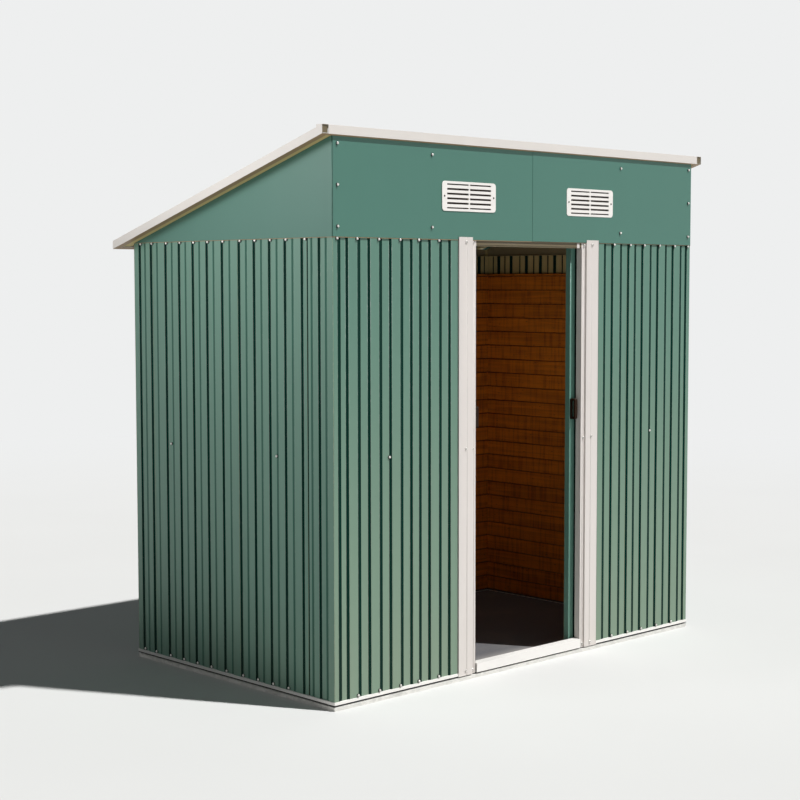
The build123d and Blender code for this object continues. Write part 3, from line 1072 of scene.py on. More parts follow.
@dataclass(frozen=True)
class Vent:
    """Louvred vent plate, two columns of slots with a sloping blade behind each."""

    finishes: Finishes
    side: Side
    offset: float = 0.326
    centre_height: float = 1.6985
    face: float = -0.584
    width: float = 0.268
    height: float = 0.102
    thickness: float = 0.0014
    corner: float = 0.012
    corner_steps: int = 5
    slot_width: float = 0.106
    slot_height: float = 0.0065
    end_slot_height: float = 0.0045
    pitch: float = 0.0161
    rows: int = 6
    mullion: float = 0.007
    edge_radius: float = 0.0005
    flat_angle: float = 0.01
    rim_angle: float = 1.0
    blade_sheet: float = 0.0008
    blade_fold: float = 0.0004
    blade_gap: float = 0.0004
    blade_drop: float = 0.0010
    blade_overlap: float = 0.002
    blade_foot: Vector = field(default_factory=lambda: Vector((0, 0.0030, 0.0012)))
    blade_slope: Vector = field(default_factory=lambda: Vector((0, 0.0026, 0.0016)))

    @property
    def middle(self) -> Vector:
        """Centre of the plate's outer face."""
        return self.side.at(self.offset, self.face, self.centre_height)

    def build(self) -> None:
        """Make the plate and its louvres."""
        node = f"vent_{self.side.label}"
        place(f"{node}_plate", self._plate(), (self.finishes.vent,), node)
        blades = bmesh.new()
        for column in (-1, 1):
            for row in range(self.rows):
                merge(blades, self._blade(column, row))
        # The blades carry a painted shade, so that the slots read dark
        place(f"{node}_blades", blades, (self.finishes.vent_blade,), node)

    def _slot_edge(self, row: int, way: int) -> float:
        """Height of the lower (-1) or upper (1) edge of a row's slots, from the middle of the plate."""
        height = self.end_slot_height if row in (0, self.rows - 1) else self.slot_height
        return (row - (self.rows - 1) / 2) * self.pitch + way * height / 2

    def _plate(self) -> Shape:
        """Cut the rounded plate with its slots.

        Returns:
            The shape.
        """
        shape = bmesh.new()
        bmesh.ops.create_grid(shape, x_segments=1, y_segments=1, size=0.5)
        bmesh.ops.scale(shape, verts=shape.verts, vec=(self.width, self.height, 1.0))
        bevel(shape, shape.verts, self.corner, self.corner_steps, "VERTICES")
        inner, outer = self.mullion / 2, self.mullion / 2 + self.slot_width
        for x in (-outer, -inner, inner, outer):
            split(shape, ACROSS * x, ACROSS)
        for row in range(self.rows):
            for way in (-1, 1):
                split(shape, BACK * self._slot_edge(row, way), BACK)
        bmesh.ops.delete(shape, geom=[face for face in shape.faces if self._in_slot(face)], context="FACES")
        upright = Matrix.Rotation(math.radians(90), 3, "X")
        bmesh.ops.rotate(shape, verts=shape.verts, cent=(0, 0, 0), matrix=upright)
        bmesh.ops.translate(shape, verts=shape.verts, vec=self.middle)
        shape.normal_update()
        if shape.faces[:][0].normal.dot(OUT) < 0:
            bmesh.ops.reverse_faces(shape, faces=list(shape.faces))
        flatten(shape, self.flat_angle)
        solidify_inwards(shape, self.thickness)
        rims = []
        for edge in shape.edges:
            in_front = all(vertex.co.y < self.face + self.thickness / 2 for vertex in edge.verts)
            if in_front and edge.is_manifold and edge.calc_face_angle(0.0) > self.rim_angle:
                rims.append(edge)
        round_edges(shape, rims, self.edge_radius)
        return shape

    def _in_slot(self, face: bmesh.types.BMFace) -> bool:
        """Find out whether a face of the flat plate lies in a slot.

        Args:
            face: The face.

        Returns:
            Whether it does.
        """
        middle = face.calc_center_median()
        if not self.mullion / 2 < abs(middle.x) < self.mullion / 2 + self.slot_width:
            return False
        rows = range(self.rows)
        return any(self._slot_edge(row, -1) < middle.y < self._slot_edge(row, 1) for row in rows)

    def _blade(self, column: int, row: int) -> Shape:
        """Make the sloping blade behind one slot.

        Args:
            column: -1 or 1.
            row: Number of the row from below.

        Returns:
            The shape.
        """
        middle = self.middle
        reach = self.slot_width + self.blade_overlap
        start_x = middle.x + column * (self.mullion + self.slot_width) / 2 - reach / 2
        low = middle.z + self._slot_edge(row, -1) - self.blade_drop
        start = Vector((start_x, self.face + self.thickness + self.blade_gap, low))
        strip = FoldedStrip(start, self.blade_foot, self.blade_slope + UP * self.slot_height)
        return strip.draw(ACROSS * reach, OUT, self.blade_sheet, self.blade_fold)


@dataclass(frozen=True)
class UpperWalls:
    """Plain sheets above the ribbed walls: the two front ones and the gables."""

    finishes: Finishes
    foot: float = 1.5503
    reach_up: float = 0.36
    thickness: float = 0.0007
    flange: float = 0.020
    front_proud: float = 0.0016
    side_proud: float = 0.0022
    seam: float = 0.0045
    seam_lap: float = 0.010
    seam_step: float = 0.0009
    fold: float = 0.0048
    fold_radius: float = 0.0006
    corner_radius: float = 0.0022
    window_margin: float = 0.012
    edge_drop: float = 0.0018
    edge_lip: float = 0.0050
    edge_sheet: float = 0.0008
    edge_fold: float = 0.0004

    def build(self) -> None:
        """Make the sheets, the vents and the edge strip below them."""
        for side in Side:
            self._gable(side)
            self._front_sheet(side)
            Vent(self.finishes, side).build()
        self._edge_strips()

    def front_face(self, side: Side) -> float:
        """Place along Y of a front sheet's outer face. The right one lies over the left one."""
        return FRONT - self.front_proud - (self.seam_step if side is Side.RIGHT else 0.0)

    def _gable(self, side: Side) -> None:
        """Make a side sheet that is folded round the front corner, under the front sheet.

        Args:
            side: Which side.
        """
        start = side.at(HALF_WIDTH + self.side_proud - self.flange, FRONT, self.foot)
        strip = FoldedStrip(start, side.outward * self.flange, BACK * (REAR - FRONT))
        run = UP * self.reach_up
        shape = strip.draw(run, side.outward, self.thickness, self.corner_radius, 3, under_roof=True)
        node = f"gable_{side.label}"
        place(f"{node}_sheet", shape, (self.finishes.plain,), node)

    def _front_sheet(self, side: Side) -> None:
        """Make a front sheet with a fold along its foot and an opening behind the vent.

        Args:
            side: Which half.
        """
        face = self.front_face(side)
        begin, end = -HALF_WIDTH, self.seam + self.seam_lap
        if side is Side.RIGHT:
            begin, end = self.seam, HALF_WIDTH
        vent = Vent(self.finishes, side)
        half = Vector((vent.width / 2 - self.window_margin, 0, vent.height / 2 - self.window_margin / 2))
        middle = side.at(vent.offset, face, vent.centre_height)
        start = Vector((begin, face + self.fold, self.foot))
        strip = FoldedStrip(start, OUT * self.fold, UP * self.reach_up)
        hole = (middle - half, middle + half)
        run = ACROSS * (end - begin)
        shape = strip.draw(run, OUT, self.thickness, self.fold_radius, 3, under_roof=True, hole=hole)
        node = f"fascia_{side.label}"
        place(f"{node}_sheet", shape, (self.finishes.plain,), node)

    def _edge_strips(self) -> None:
        """Make the thin edge of the wall rail that shows between the upper and lower sheets; its tan is
        painted bounce light.
        """
        y = FRONT - self.front_proud + self.thickness / 2
        x = HALF_WIDTH + self.side_proud - self.thickness / 2
        along_side = BACK * (REAR - y)
        runs = (
            ("front", -HALF_WIDTH, ACROSS * (2 * HALF_WIDTH), BACK),
            ("left", -x, along_side, ACROSS),
            ("right", x, along_side, -ACROSS),
        )
        for name, start_x, run, inward in runs:
            start = Vector((start_x, y, self.foot)) + inward * self.edge_lip
            strip = FoldedStrip(start, -inward * self.edge_lip, -UP * self.edge_drop)
            shape = strip.draw(run, -inward, self.edge_sheet, self.edge_fold, under_roof=True)
            place(f"wall_edge_{name}", shape, (self.finishes.edge_tan,), slot="header_paint")


# Doorway and doors


@dataclass(frozen=True)
class Doorway:
    """White jambs, sill and base rails, and the header above the opening."""

    finishes: Finishes
    half_opening: float = 0.285
    step_width: float = 0.023
    face_width: float = 0.070
    face: float = -0.584
    step_depth: float = 0.0065
    return_depth: float = 0.0235
    return_foot: float = 0.006
    edge_depth: float = 0.004
    foot: float = 0.017
    ledge: float = 0.030
    top: float = 1.560
    strip_top: float = 1.550
    header_low: float = 1.529
    header_face: float = -0.5755
    sill_top: float = 0.052
    sill_height: float = 0.0335
    sill_front: float = -0.585
    sill_rear: float = -0.551
    sill_lip: float = 0.004
    bead_top: float = 0.0125
    bead_reach: float = 0.0018
    bead_slope: float = 0.0012
    bead_height: float = 0.0060
    bead_sheet: float = 0.0006
    clip_place: float = 0.2585
    clip_width: float = 0.014
    clip_height: float = 0.0185
    clip_foot: float = 0.0005
    clip_reach: float = 0.0026
    seal_height: float = 0.0065
    thickness: float = 0.0012
    groove: float = 0.0014
    face_groove: float = 0.59
    strip_groove: float = 0.5
    sill_grooves: tuple[float, float] = (0.62, 0.45)
    groove_radius: float = 0.0003
    small_fold: float = 0.0004
    fold_radius: float = 0.0009
    rail_radius: float = 0.0005

    def build(self) -> None:
        """Make the jambs, sill and header bead, and dress the base rails."""
        for side in Side:
            self._jamb(side)
        self._sill()
        self._header()
        for wall in WALLS:
            node = f"base_rail_{wall}"
            place(f"{node}_rounded", self._base_rail(node), (self.finishes.sill, self.finishes.rubber), node)

    def _base_rail(self, node: str) -> Shape:
        """Round a base rail, with a black band along its foot that paints the shadow of the gap under it.

        Args:
            node: The rail's node.

        Returns:
            The shape.
        """
        shape = softened(node, self.rail_radius)
        shade_top = UP * (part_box(node)[0].z + self.seal_height)
        split(shape, shade_top, UP)
        for face in shape.faces:
            if face.calc_center_median().z < shade_top.z:
                face.material_index = 1
        return shape

    def _grooved(self, step: Vector, inward: Vector, share: float) -> tuple[Vector, ...]:
        """Break a leg up to press a shallow line into it.

        Args:
            step: The whole leg.
            inward: The way that the line is pressed.
            share: Place of the line along the leg.

        Returns:
            The legs in its place.
        """
        half = step.normalized() * (2 * self.groove)
        dip = inward * self.groove
        return step * share - half, half + dip, half - dip, step * (1 - share) - half

    def _jamb(self, side: Side) -> None:
        """Make a jamb with a pressed face, a step back, a strip and a return into the opening.

        Args:
            side: Which side of the doorway.
        """
        inner = self.half_opening + self.step_width
        outer = inner + self.face_width
        strip_face = self.face + self.step_depth
        inwards = -side.outward
        legs = self._grooved(inwards * self.face_width, BACK, self.face_groove)
        front = FoldedStrip(side.at(outer, self.face, self.foot), *legs, BACK * self.step_depth)
        shape = front.draw(UP * (self.top - self.foot), OUT, self.thickness, self.groove_radius)
        edge = FoldedStrip(side.at(outer, self.face, self.ledge), BACK * self.edge_depth)
        merge(shape, edge.draw(UP * (self.top - self.ledge), side.outward, self.thickness))
        legs = self._grooved(inwards * self.step_width, BACK, self.strip_groove)
        rear = FoldedStrip(side.at(inner, strip_face, self.foot), *legs)
        merge(shape, rear.draw(UP * (self.strip_top - self.foot), OUT, self.thickness, self.small_fold))
        start = side.at(self.half_opening, strip_face, self.sill_top)
        turn = FoldedStrip(start, BACK * self.return_depth, side.outward * self.return_foot)
        run = UP * (self.header_low - self.sill_top)
        merge(shape, turn.draw(run, inwards, self.thickness, self.fold_radius))
        node = f"door_jamb_{side.label}"
        place(f"{node}_folded", shape, (self.finishes.white,), node)

    def _sill(self) -> None:
        """Make the sill with two runners pressed into its top."""
        foot = self.sill_top - self.sill_height
        half = BACK * ((self.sill_rear - self.sill_front) * 0.5)
        legs = [OUT * self.sill_lip, UP * self.sill_height]
        for share in self.sill_grooves:
            legs += self._grooved(half, -UP, share)
        start = Vector((-self.half_opening, self.sill_front + self.sill_lip, foot))
        strip = FoldedStrip(start, *legs, -UP * self.sill_lip)
        shape = strip.draw(ACROSS * (2 * self.half_opening), UP + OUT, self.thickness, self.fold_radius)
        place("door_sill_folded", shape, (self.finishes.sill,), "door_sill")

    def _header(self) -> None:
        """Make the header with a pressed bead along its front, and a white clip at its right end. The
        header's taupe is painted shade on white steel.
        """
        shape = softened("door_header", self.small_fold)
        reach = OUT * self.bead_reach
        slope = UP * self.bead_slope
        start = Vector((-self.half_opening, self.header_face, self.header_low + self.bead_top))
        bead = FoldedStrip(start, reach - slope, -UP * self.bead_height, -reach - slope)
        run = ACROSS * (2 * self.half_opening)
        merge(shape, bead.draw(run, OUT, self.bead_sheet, self.small_fold))
        place("door_header_beaded", shape, (self.finishes.header,), "door_header")
        reach = OUT * self.clip_reach
        start = Vector((self.clip_place, self.header_face, self.header_low + self.clip_foot))
        clip = FoldedStrip(start, reach, UP * self.clip_height, -reach)
        shape = clip.draw(ACROSS * self.clip_width, OUT, self.thickness, self.small_fold)
        place("header_clip", shape, (self.finishes.white,), slot="white_paint")


@dataclass(frozen=True)
class SlidingDoor:
    """One sliding door: ribbed panel, hanger and handle."""

    finishes: Finishes
    side: Side
    lead: float = 0.260
    width: float = 0.325
    front: float = -0.545
    rear: float = -0.522
    bottom: float = 0.040
    top: float = 1.535
    lip: float = 0.012
    foot_inset: float = 0.001
    foot_setback: float = 0.0040
    foot_lift: float = 0.0012
    pattern: RibPattern = RibPattern(tuple(even_folds(first=0.027, pitch=0.1048, end=0.298)))
    thickness: float = 0.0007
    fold_radius: float = 0.0013
    hanger_radius: float = 0.0004
    handle_radius: float = 0.0011

    def build(self) -> None:
        """Make the panel and dress the hanger and handle."""
        coats = self.finishes
        hanger = softened(self._node("hanger"), self.hanger_radius)
        handle = softened(self._node("handle"), self.handle_radius, 3)
        self._place("panel", "folded", self._panel(), coats.door, coats.back_coat, coats.flank)
        self._place("hanger", "rounded", hanger, coats.zinc)
        self._place("handle", "rounded", handle, coats.handle)

    def _node(self, part: str) -> str:
        """Name of a CAD node of this door."""
        return f"door_{part}_{self.side.label}"

    def _place(self, part: str, ending: str, shape: Shape, *finishes: Material) -> None:
        """Place a piece of this door."""
        node = self._node(part)
        place(f"{node}_{ending}", shape, finishes, node, body=f"door_{self.side.label}")

    def _panel(self) -> Shape:
        """Fold the panel with its edges, and close its foot.

        Returns:
            The shape.
        """
        trail = self.lead + self.width
        section = [(self.lead + self.lip, self.rear), (self.lead, self.rear)]
        for spot in self.pattern.corners(0.0, self.width):
            section.append((self.lead + spot, self.front + self.pattern.depth_at(spot)))
        section += [(trail, self.rear), (trail - self.lip, self.rear)]
        strip = FoldedStrip.through([self.side.at(x, y, self.bottom) for x, y in section])
        shape = strip.draw(UP * (self.top - self.bottom), OUT, self.thickness, self.fold_radius)
        outward = self.side.outward
        self.pattern.number_faces(shape, OUT, outward * self.lead, outward, edges_are_back=False)
        start_y = self.front + self.foot_setback
        start = self.side.at(self.lead + self.foot_inset, start_y, self.bottom + self.foot_lift)
        foot = FoldedStrip(start, BACK * (self.rear - self.foot_inset - start_y))
        merge(shape, foot.draw(outward * (self.width - 2 * self.foot_inset), UP, self.thickness))
        return shape


# Inside


@dataclass(frozen=True)
class Inside:
    """Rails, beams, floor, foundation and the board lining of the walls."""

    finishes: Finishes
    rail_radius: float = 0.0004
    beam_radius: float = 0.0005
    floor_radius: float = 0.001
    board_height: float = 0.0617
    board_gap: float = 0.0006
    board_edge: float = 0.0022
    cap_height: float = 0.010
    cap_reach: float = 0.006
    cap_tone: float = 0.15
    plate_inset: float = 0.0006
    seed: int = 5

    def build(self) -> None:
        """Round the rails and beams and board the walls."""
        coats = self.finishes
        lined = ("left", "right", "rear")
        rails = [f"{level}_rail_{wall}" for wall in lined for level in ("top", "mid")]
        self._round(rails, self.rail_radius, coats.rail)
        self._round(["roof_beam_front", "roof_beam_rear"], self.beam_radius, coats.zinc)
        self._round([f"foundation_{wall}" for wall in WALLS], self.beam_radius, coats.pale_zinc)
        self._close_ends()
        self._round(["floor_panel"], self.floor_radius, coats.floor)
        for number, wall in enumerate(lined):
            node = f"wall_lining_{wall}"
            boards = self._boards(wall, random.Random(self.seed + number))
            place(f"{node}_boards", boards, (coats.boards,), node)

    def _close_ends(self) -> None:
        """Close the open ends of the front and rear foundation rails with thin plates."""
        inset = self.plate_inset
        for wall in ("front", "rear"):
            low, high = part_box(f"foundation_{wall}")
            plates = bmesh.new()
            for x, outward in ((low.x, -ACROSS), (high.x, ACROSS)):
                start = Vector((x, low.y + inset, low.z)) - outward * inset
                plate = FoldedStrip(start, UP * (high.z - low.z - inset))
                merge(plates, plate.draw(BACK * (high.y - low.y - 2 * inset), outward, inset))
            place(f"foundation_ends_{wall}", plates, (self.finishes.pale_zinc,), slot="galvanised")

    @staticmethod
    def _round(nodes: Sequence[str], radius: float, finish: Material) -> None:
        """Round the edges of some CAD nodes that keep their shape."""
        for node in nodes:
            place(f"{node}_rounded", softened(node, radius), (finish,), node)

    def _boards(self, wall: str, chance: random.Random) -> Shape:
        """Lay one wall's boards one above another, with a cap on the top one.

        Args:
            wall: "left", "right" or "rear".
            chance: Picks each board's tone.

        Returns:
            The shape.
        """
        low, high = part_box(f"wall_lining_{wall}")
        near, far = Vector(low), Vector(high)
        turned = wall == "rear"
        if wall == "left":
            far.x -= self.cap_reach
        elif wall == "right":
            near.x += self.cap_reach
        else:
            near.y += self.cap_reach
        shape = bmesh.new()
        cap_low = high.z - self.cap_height
        count = round((cap_low - low.z) / self.board_height)
        height = (cap_low - low.z) / count
        for number in range(count):
            near.z = low.z + number * height
            far.z = near.z + height - self.board_gap
            merge(shape, self._board(near, far, chance.random(), turned))
        merge(shape, self._board(Vector((low.x, low.y, cap_low)), Vector(high), self.cap_tone, turned))
        return shape

    def _board(self, low: Vector, high: Vector, shade: float, turned: bool) -> Shape:
        """Make one board with eased edges.

        Args:
            low: Lowest corner.
            high: Highest corner.
            shade: The board's tone, from 0 to 1.
            turned: Whether it runs along X and not along Y.

        Returns:
            The shape.
        """
        board = bmesh.new()
        bmesh.ops.create_cube(board, size=1.0)
        size = high - low
        bmesh.ops.scale(board, verts=board.verts, vec=size)
        bmesh.ops.translate(board, verts=board.verts, vec=(low + high) / 2)
        longest = max(size.x, size.y)
        lengthwise = [edge for edge in board.edges if edge.calc_length() > longest / 2]
        round_edges(board, lengthwise, self.board_edge)
        for name, value in (("board", shade), ("turned", float(turned))):
            layer = face_layer(board, name)
            for face in board.faces:
                face[layer] = value
        return board


# Roof


@dataclass(frozen=True)
class Roof:
    """Ribbed roof sheets and the trims round them."""

    finishes: Finishes
    reach: float = 1.004
    rear: float = 0.586
    run: float = 1.172
    crest: float = 0.009
    pattern: RibPattern = RibPattern(
        tuple(even_folds(first=0.062, pitch=0.097, end=1.004)), depth=0.008, starts_low=True
    )
    lap: float = 0.028
    lap_place: float = 0.508
    end_setback: float = 0.003
    cut_end: float = 0.0005
    thickness: float = 0.0005
    fold_radius: float = 0.0022
    trim_radius: float = 0.0007
    underside: float = 0.8
    end_facing: float = 0.9

    def build(self) -> None:
        """Make the sheets and round the trims."""
        coats = (self.finishes.roof, self.finishes.back_coat, self.finishes.roof)
        outer = LappedSheet(0.0, self.lap_place + self.lap, 0.0)
        inner = LappedSheet(self.lap_place, self.reach, self.thickness)
        for side in Side:
            node = f"roof_sheet_{side.label}"
            for number, sheet in enumerate((outer, inner), 1):
                place(f"{node}_{number}", self._sheet(side, sheet), coats, node)
            self._end_plate(side)
        for edge in WALLS:
            self._trim(f"roof_trim_{edge}")

    def _trim(self, node: str) -> None:
        """Round one trim. Its underside gets the tan of painted bounce light and shade, and its cut front end
        the taupe of painted shade.

        Args:
            node: The trim's node.
        """
        shape = softened(node, self.trim_radius, 3)
        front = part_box(node)[0].y
        # Painted bounce light and shade on the undersides, painted shade on the side trims' cut front ends
        for face in shape.faces:
            if face.normal.z < -self.underside:
                face.material_index = 1
            elif face.normal.y < -self.end_facing and node.endswith(("left", "right")):
                if face.calc_center_median().y < front + self.cut_end:
                    face.material_index = 2
        coats = (self.finishes.trim, self.finishes.edge_tan, self.finishes.header)
        place(f"{node}_rounded", shape, coats, node)

    def _end_plate(self, side: Side) -> None:
        """Close the hollow front end of a side trim, a little behind its edge, with a taupe plate that paints
        the shade inside the hollow.

        Args:
            side: Which trim.
        """
        low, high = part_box(f"roof_trim_{side.label}")
        margin = 2 * self.thickness
        bottom = roof_height(low.y) + margin
        start = Vector((low.x + margin, low.y + self.end_setback, bottom))
        plate = FoldedStrip(start, UP * (high.z - margin - bottom))
        shape = plate.draw(ACROSS * (high.x - low.x - 2 * margin), OUT, self.thickness)
        place(f"trim_end_{side.label}", shape, (self.finishes.header,), slot="trim_paint")

    def point(self, side: Side, along: float, y: float, proud: float = 0.0) -> Vector:
        """Point of the outer face by its distance from the outer edge, its Y and its height above."""
        foot = side.at(self.reach - along, y, roof_height(y))
        return foot + ROOF_UP * (self.crest - self.pattern.depth_at(along) + proud)

    def _sheet(self, side: Side, sheet: LappedSheet) -> Shape:
        """Fold one roof sheet.

        Args:
            side: Which half of the roof.
            sheet: Where it begins and ends.

        Returns:
            The shape.
        """
        corners = self.pattern.corners(sheet.begin, sheet.end)
        strip = FoldedStrip.through([self.point(side, spot, self.rear, sheet.proud) for spot in corners])
        slope = Vector((0.0, -1.0, DOWN_SLOPE)) * self.run
        shape = strip.draw(slope, ROOF_UP, self.thickness, self.fold_radius)
        self.pattern.number_faces(shape, ROOF_UP, self.point(side, 0.0, self.rear), -side.outward)
        return shape


# Screws


@dataclass
class Screws:
    """Pan-head screws, gathered by wall and made as one piece for each."""

    name: str
    head_radius: float = 0.0046
    head_height: float = 0.0034
    head_taper: float = 0.72
    rim_radius: float = 0.0056
    rim_height: float = 0.0026
    rim_taper: float = 0.93
    recess_rim: float = 0.34
    recess_depth: float = 0.35
    sides: int = 12
    flat_facing: float = 0.9
    placed: int = 0
    shape: Shape = field(default_factory=bmesh.new)

    def add(self, point: Vector, outward: Vector) -> None:
        """Put one screw on a surface.

        Args:
            point: Where its washer lies.
            outward: The way that the surface looks.
        """
        screw = bmesh.new()
        self._disc(screw, self.rim_radius, self.rim_taper, 0.0, self.rim_height)
        self._disc(screw, self.head_radius, self.head_taper, self.rim_height, self.head_height)
        top = max(screw.faces, key=lambda face: face.calc_center_median().z)
        rim = self.head_radius * self.recess_rim
        bmesh.ops.inset_region(screw, faces=[top], thickness=rim, depth=0.0)
        sunk = -UP * (self.head_height * self.recess_depth)
        bmesh.ops.translate(screw, verts=list(top.verts), vec=sunk)
        for face in screw.faces:
            face.smooth = abs(face.normal.z) < self.flat_facing
            face.material_index = int(face.calc_center_median().z < self.rim_height + CAD_WELD)
        # Material 2 is the drive recess, which may carry a painted shade
        top.material_index = 2
        turn = outward.to_track_quat("Z", "Y").to_matrix()
        bmesh.ops.rotate(screw, verts=screw.verts, cent=(0, 0, 0), matrix=turn)
        bmesh.ops.translate(screw, verts=screw.verts, vec=point)
        merge(self.shape, screw)
        self.placed += 1

    def _disc(self, screw: Shape, radius: float, taper: float, low: float, height: float) -> None:
        """Add one tapered disc.

        Args:
            screw: The screw.
            radius: Radius at the disc's foot.
            taper: Share of the radius that is left at its top.
            low: Height of its foot.
            height: Its own height.
        """
        ends = {"radius1": radius, "radius2": radius * taper, "depth": height}
        made = bmesh.ops.create_cone(screw, cap_ends=True, segments=self.sides, **ends)
        bmesh.ops.translate(screw, verts=made["verts"], vec=UP * (low + height / 2))

    def finish(self, head: Material, washer: Material, recess: Material | None = None) -> None:
        """Make the piece; a dark recess finish paints the shade in the drive recesses, which are like the
        heads when it is left out.
        """
        log.info("%s: %d screws", self.name, self.placed)
        place(self.name, self.shape, (head, washer, recess or head), slot="galvanised")


@dataclass
class Fixings:
    """Every screw that shows."""

    finishes: Finishes
    walls: Walls
    roof: Roof
    top: float = 1.5455
    middle: float = 0.820
    bottom: float = 0.0368
    fascia_inset: float = 0.019
    fascia_heights: tuple[float, ...] = (1.849, 1.717, 1.584)
    inner_inset: float = 0.448
    inner_heights: tuple[float, ...] = (1.835, 1.590)
    vent_inset: float = 0.0115
    vent_head: float = 0.0027
    vent_head_height: float = 0.0014
    vent_rim: float = 0.0032
    vent_rim_height: float = 0.0007
    jamb_heights: tuple[float, ...] = (1.5435, 0.822, 0.0345)
    jamb_rim: float = 0.0008
    face_share: float = 0.47
    strip_share: float = 0.32
    strip_drop: float = 0.003
    roof_rows: tuple[float, ...] = (0.515, 0.200, -0.250, -0.560)

    def build(self) -> None:
        """Set the screws of each wall, the upper sheets, jambs, vents and roof."""
        coats = self.finishes
        for wall in self.walls.walls:
            screws = Screws(f"screws_{wall.name}")
            self._wall(screws, wall)
            screws.finish(coats.screw, coats.rubber)
        for side in Side:
            self._fascia(side)
            self._vent(side)
        for side in Side:
            self._jamb(side)
        for side in Side:
            self._roof(side)

    def _wall(self, screws: Screws, wall: RibbedWall) -> None:
        """Set screws along the top and foot of a wall, and a few at mid height.

        Args:
            screws: The group to add to.
            wall: The wall.
        """
        places = [(along, self.top) for along in wall.screw_places]
        places += [(along, self.bottom) for along in wall.screw_places[1:]]
        places += [(along, self.middle) for along in wall.middle_screws]
        for along, height in places:
            proud = max(sheet.proud for sheet in wall.sheets if sheet.begin <= along <= sheet.end)
            screws.add(wall.point(along, proud) + UP * (height - wall.corner.z), wall.outward)

    def _fascia(self, side: Side) -> None:
        """Set two columns of screws in a front sheet.

        Args:
            side: Which half.
        """
        screws = Screws(f"screws_fascia_{side.label}")
        face = UpperWalls(self.finishes).front_face(side)
        columns = ((self.fascia_inset, self.fascia_heights), (self.inner_inset, self.inner_heights))
        for inset, heights in columns:
            for height in heights:
                screws.add(side.at(HALF_WIDTH - inset, face, height), OUT)
        screws.finish(self.finishes.screw, self.finishes.rubber)

    def _vent(self, side: Side) -> None:
        """Set a small screw at each end of a vent.

        Args:
            side: Which vent.
        """
        vent = Vent(self.finishes, side)
        sizes = {"head_radius": self.vent_head, "head_height": self.vent_head_height}
        sizes |= {"rim_radius": self.vent_rim, "rim_height": self.vent_rim_height}
        small = Screws(f"screws_vent_{side.label}", **sizes)
        for way in (-1, 1):
            small.add(vent.middle + ACROSS * (way * (vent.width / 2 - self.vent_inset)), OUT)
        small.finish(self.finishes.handle, self.finishes.handle)

    def _jamb(self, side: Side) -> None:
        """Set screws down the face and strip of a jamb.

        Args:
            side: Which jamb.
        """
        doorway = Doorway(self.finishes)
        inner = doorway.half_opening + doorway.step_width
        on_face = inner + doorway.face_width * self.face_share
        on_strip = inner - doorway.step_width * self.strip_share
        strip = doorway.face + doorway.step_depth
        screws = Screws(f"screws_jamb_{side.label}", rim_height=self.jamb_rim)
        for height in self.jamb_heights:
            screws.add(side.at(on_face, doorway.face, height), OUT)
            screws.add(side.at(on_strip, strip, height - self.strip_drop), OUT)
        # The handle brown in the drive recesses is painted shade
        screws.finish(self.finishes.screw, self.finishes.screw, self.finishes.handle)

    def _roof(self, side: Side) -> None:
        """Set rows of screws in the roof sheets, over the beams and walls.

        Args:
            side: Which half.
        """
        pattern = self.roof.pattern
        screws = Screws(f"screws_roof_{side.label}")
        for before, after in zip(pattern.starts[1::2], pattern.starts[2::2]):
            middle = (before + pattern.flank + after) / 2
            for row in self.roof_rows:
                screws.add(self.roof.point(side, middle, row, self.roof.thickness), ROOF_UP)
        screws.finish(self.finishes.screw, self.finishes.rubber)


# Studio


@dataclass(frozen=True)
class Lamp:
    """A sun, or a soft square lamp that isn't seen itself when it has a size."""

    name: str
    place: Vector
    travel: Vector
    strength: float
    spread: float
    size: float = 0.0

    def build(self) -> None:
        """Set the lamp up. The spread is the sun's own angle or the cone of a square lamp, in degrees."""
        square = self.size > 0
        lamp = bpy.data.lights.new(self.name, "AREA" if square else "SUN")
        lamp.energy = self.strength
        if square:
            lamp.size = self.size
            lamp.spread = math.radians(self.spread)
        else:
            lamp.angle = math.radians(self.spread)
        holder = bpy.data.objects.new(self.name, lamp)
        holder.location = self.place
        holder.rotation_euler = self.travel.to_track_quat("-Z", "Y").to_euler()
        holder.visible_camera = not square
        bpy.context.scene.collection.objects.link(holder)


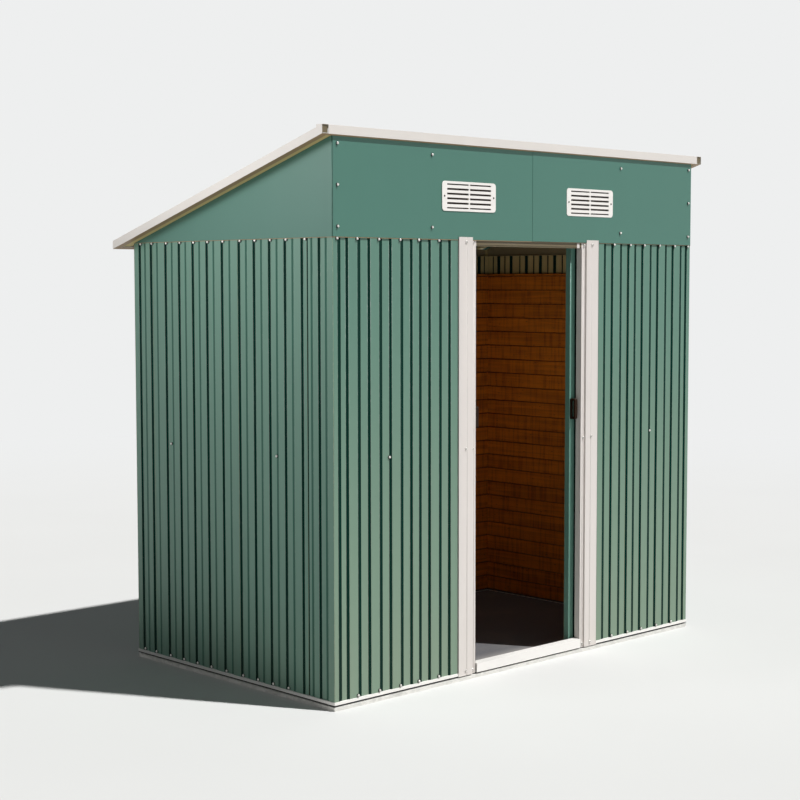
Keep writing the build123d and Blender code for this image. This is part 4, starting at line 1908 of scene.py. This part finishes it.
@dataclass
class Studio:
    """Floor, lamps, background and camera."""

    camera_place: Vector = field(default_factory=lambda: Vector((-4.428, -4.522, 1.403)))
    heading: float = math.radians(46.27)
    dip: float = math.radians(4.126)
    roll: float = math.radians(0.08)
    lens: float = 73.28
    sensor: float = 36.0
    floor_reach: float = 16.0
    floor_sides: int = 96
    fade_start: float = 2.2
    fade_end: float = 9.0
    sky_strength: float = 0.12
    sky: Colour = tone(236, 240, 244)
    background: Colour = tone(238, 239, 239)

    def build(self) -> None:
        """Set everything up."""
        self._floor()
        self._world()
        sunlight = Vector((-0.26, 0.47, -0.84))
        beside, gable_top = Vector((-3.2, 0.8, 2.4)), Vector((-0.955, -0.2, 1.9))
        inside, lining = Vector((0.10, -0.30, 1.30)), Vector((0.95, 0.2, 0.95))
        lamps = (
            Lamp("key", -4 * sunlight, sunlight, strength=4.3, spread=1.5),
            Lamp("side", beside, gable_top - beside, strength=6.0, spread=60.0, size=1.0),
            Lamp("inside", inside, lining - inside, strength=0.45, spread=140.0, size=0.16),
        )
        for lamp in lamps:
            lamp.build()
        self._camera()

    def _floor(self) -> None:
        """Lay a pale round floor that fades into the background far away."""
        shape = bmesh.new()
        bmesh.ops.create_circle(shape, cap_ends=True, segments=self.floor_sides, radius=self.floor_reach)
        mesh = bpy.data.meshes.new("studio_floor")
        shape.to_mesh(mesh)
        shape.free()
        net = Wiring("studio_floor")
        away = net.add("ShaderNodeVectorMath", {"operation": "LENGTH"}, {0: net.place}).outputs["Value"]
        far = Reading(net, away).above(self.fade_start, self.fade_end)
        colour = net.mix(net.noise(0.8, 3.0), tone(210, 210, 208), tone(215, 215, 213))
        near = net.add("ShaderNodeBsdfDiffuse", None, {"Color": colour})
        glow = net.add("ShaderNodeEmission", None, {"Color": self.background, "Strength": 1.0})
        both = net.add("ShaderNodeMixShader", None, {0: far, 1: near.outputs[0], 2: glow.outputs[0]})
        net.add("ShaderNodeOutputMaterial", None, {"Surface": both.outputs[0]})
        mesh.materials.append(net.material)
        floor = bpy.data.objects.new("studio_floor", mesh)
        bpy.context.scene.collection.objects.link(floor)

    def _world(self) -> None:
        """Give soft even light, with a pale background where it is seen."""
        world = bpy.data.worlds.new("studio_light")
        bpy.context.scene.world = world
        world.use_nodes = True
        tree = Tree(world.node_tree)
        light = tree.add("ShaderNodeBackground", None, {"Color": self.sky, "Strength": self.sky_strength})
        seen = tree.add("ShaderNodeBackground", None, {"Color": self.background, "Strength": 1.0})
        path = tree.add("ShaderNodeLightPath").outputs
        share = path["Is Camera Ray"]
        for ray in ("Is Glossy Ray", "Is Transmission Ray"):
            share = tree.add("ShaderNodeMath", {"operation": "MAXIMUM"}, {0: share, 1: path[ray]}).outputs[0]
        both = {0: share, 1: light.outputs[0], 2: seen.outputs[0]}
        mixed = tree.add("ShaderNodeMixShader", None, both).outputs[0]
        tree.add("ShaderNodeOutputWorld", None, {0: mixed})

    def _camera(self) -> None:
        """Put the camera at the photograph's viewpoint."""
        level = math.cos(self.dip)
        ahead = Vector((math.cos(self.heading) * level, math.sin(self.heading) * level, -math.sin(self.dip)))
        right = ahead.cross(UP).normalized()
        top = right.cross(ahead)
        turn = Matrix.Rotation(self.roll, 3, ahead)
        data = bpy.data.cameras.new("camera")
        data.lens = self.lens
        data.sensor_width = self.sensor
        camera = bpy.data.objects.new("camera", data)
        axes = Matrix((turn @ right, turn @ top, -ahead)).transposed().to_4x4()
        camera.matrix_world = Matrix.Translation(self.camera_place) @ axes
        bpy.context.scene.collection.objects.link(camera)
        bpy.context.scene.camera = camera


def dress_nodes(finishes: Finishes) -> None:
    """Give the CAD nodes their finishes.

    Args:
        finishes: The shed's finishes.
    """
    by_slot = {
        "galvanised": finishes.zinc,
        "floor_board": finishes.floor,
        "white_paint": finishes.white,
        "green_paint": finishes.ribbed,
        "green_plain": finishes.plain,
        "white_plastic": finishes.vent,
        "header_paint": finishes.header,
        "door_paint": finishes.door,
        "dark_plastic": finishes.handle,
        "rail_paint": finishes.rail,
        "timber": finishes.boards,
        "roof_paint": finishes.roof,
        "trim_paint": finishes.trim,
    }
    for node, slot in SLOTS.items():
        frame["nodes"][node].material_slots[0].material = by_slot[slot]


def main() -> None:
    """Build the shed's looks, one part after another."""
    logging.basicConfig(level=logging.INFO, format="%(name)s: %(message)s")
    bpy.context.scene.view_settings.view_transform = "Standard"
    finishes = Finishes()
    dress_nodes(finishes)
    walls = Walls(finishes)
    roof = Roof(finishes)
    walls.build()
    UpperWalls(finishes).build()
    Doorway(finishes).build()
    for side in Side:
        SlidingDoor(finishes, side).build()
    Inside(finishes).build()
    roof.build()
    Fixings(finishes, walls, roof).build()
    Studio().build()


if __name__ == "__main__":
    main()
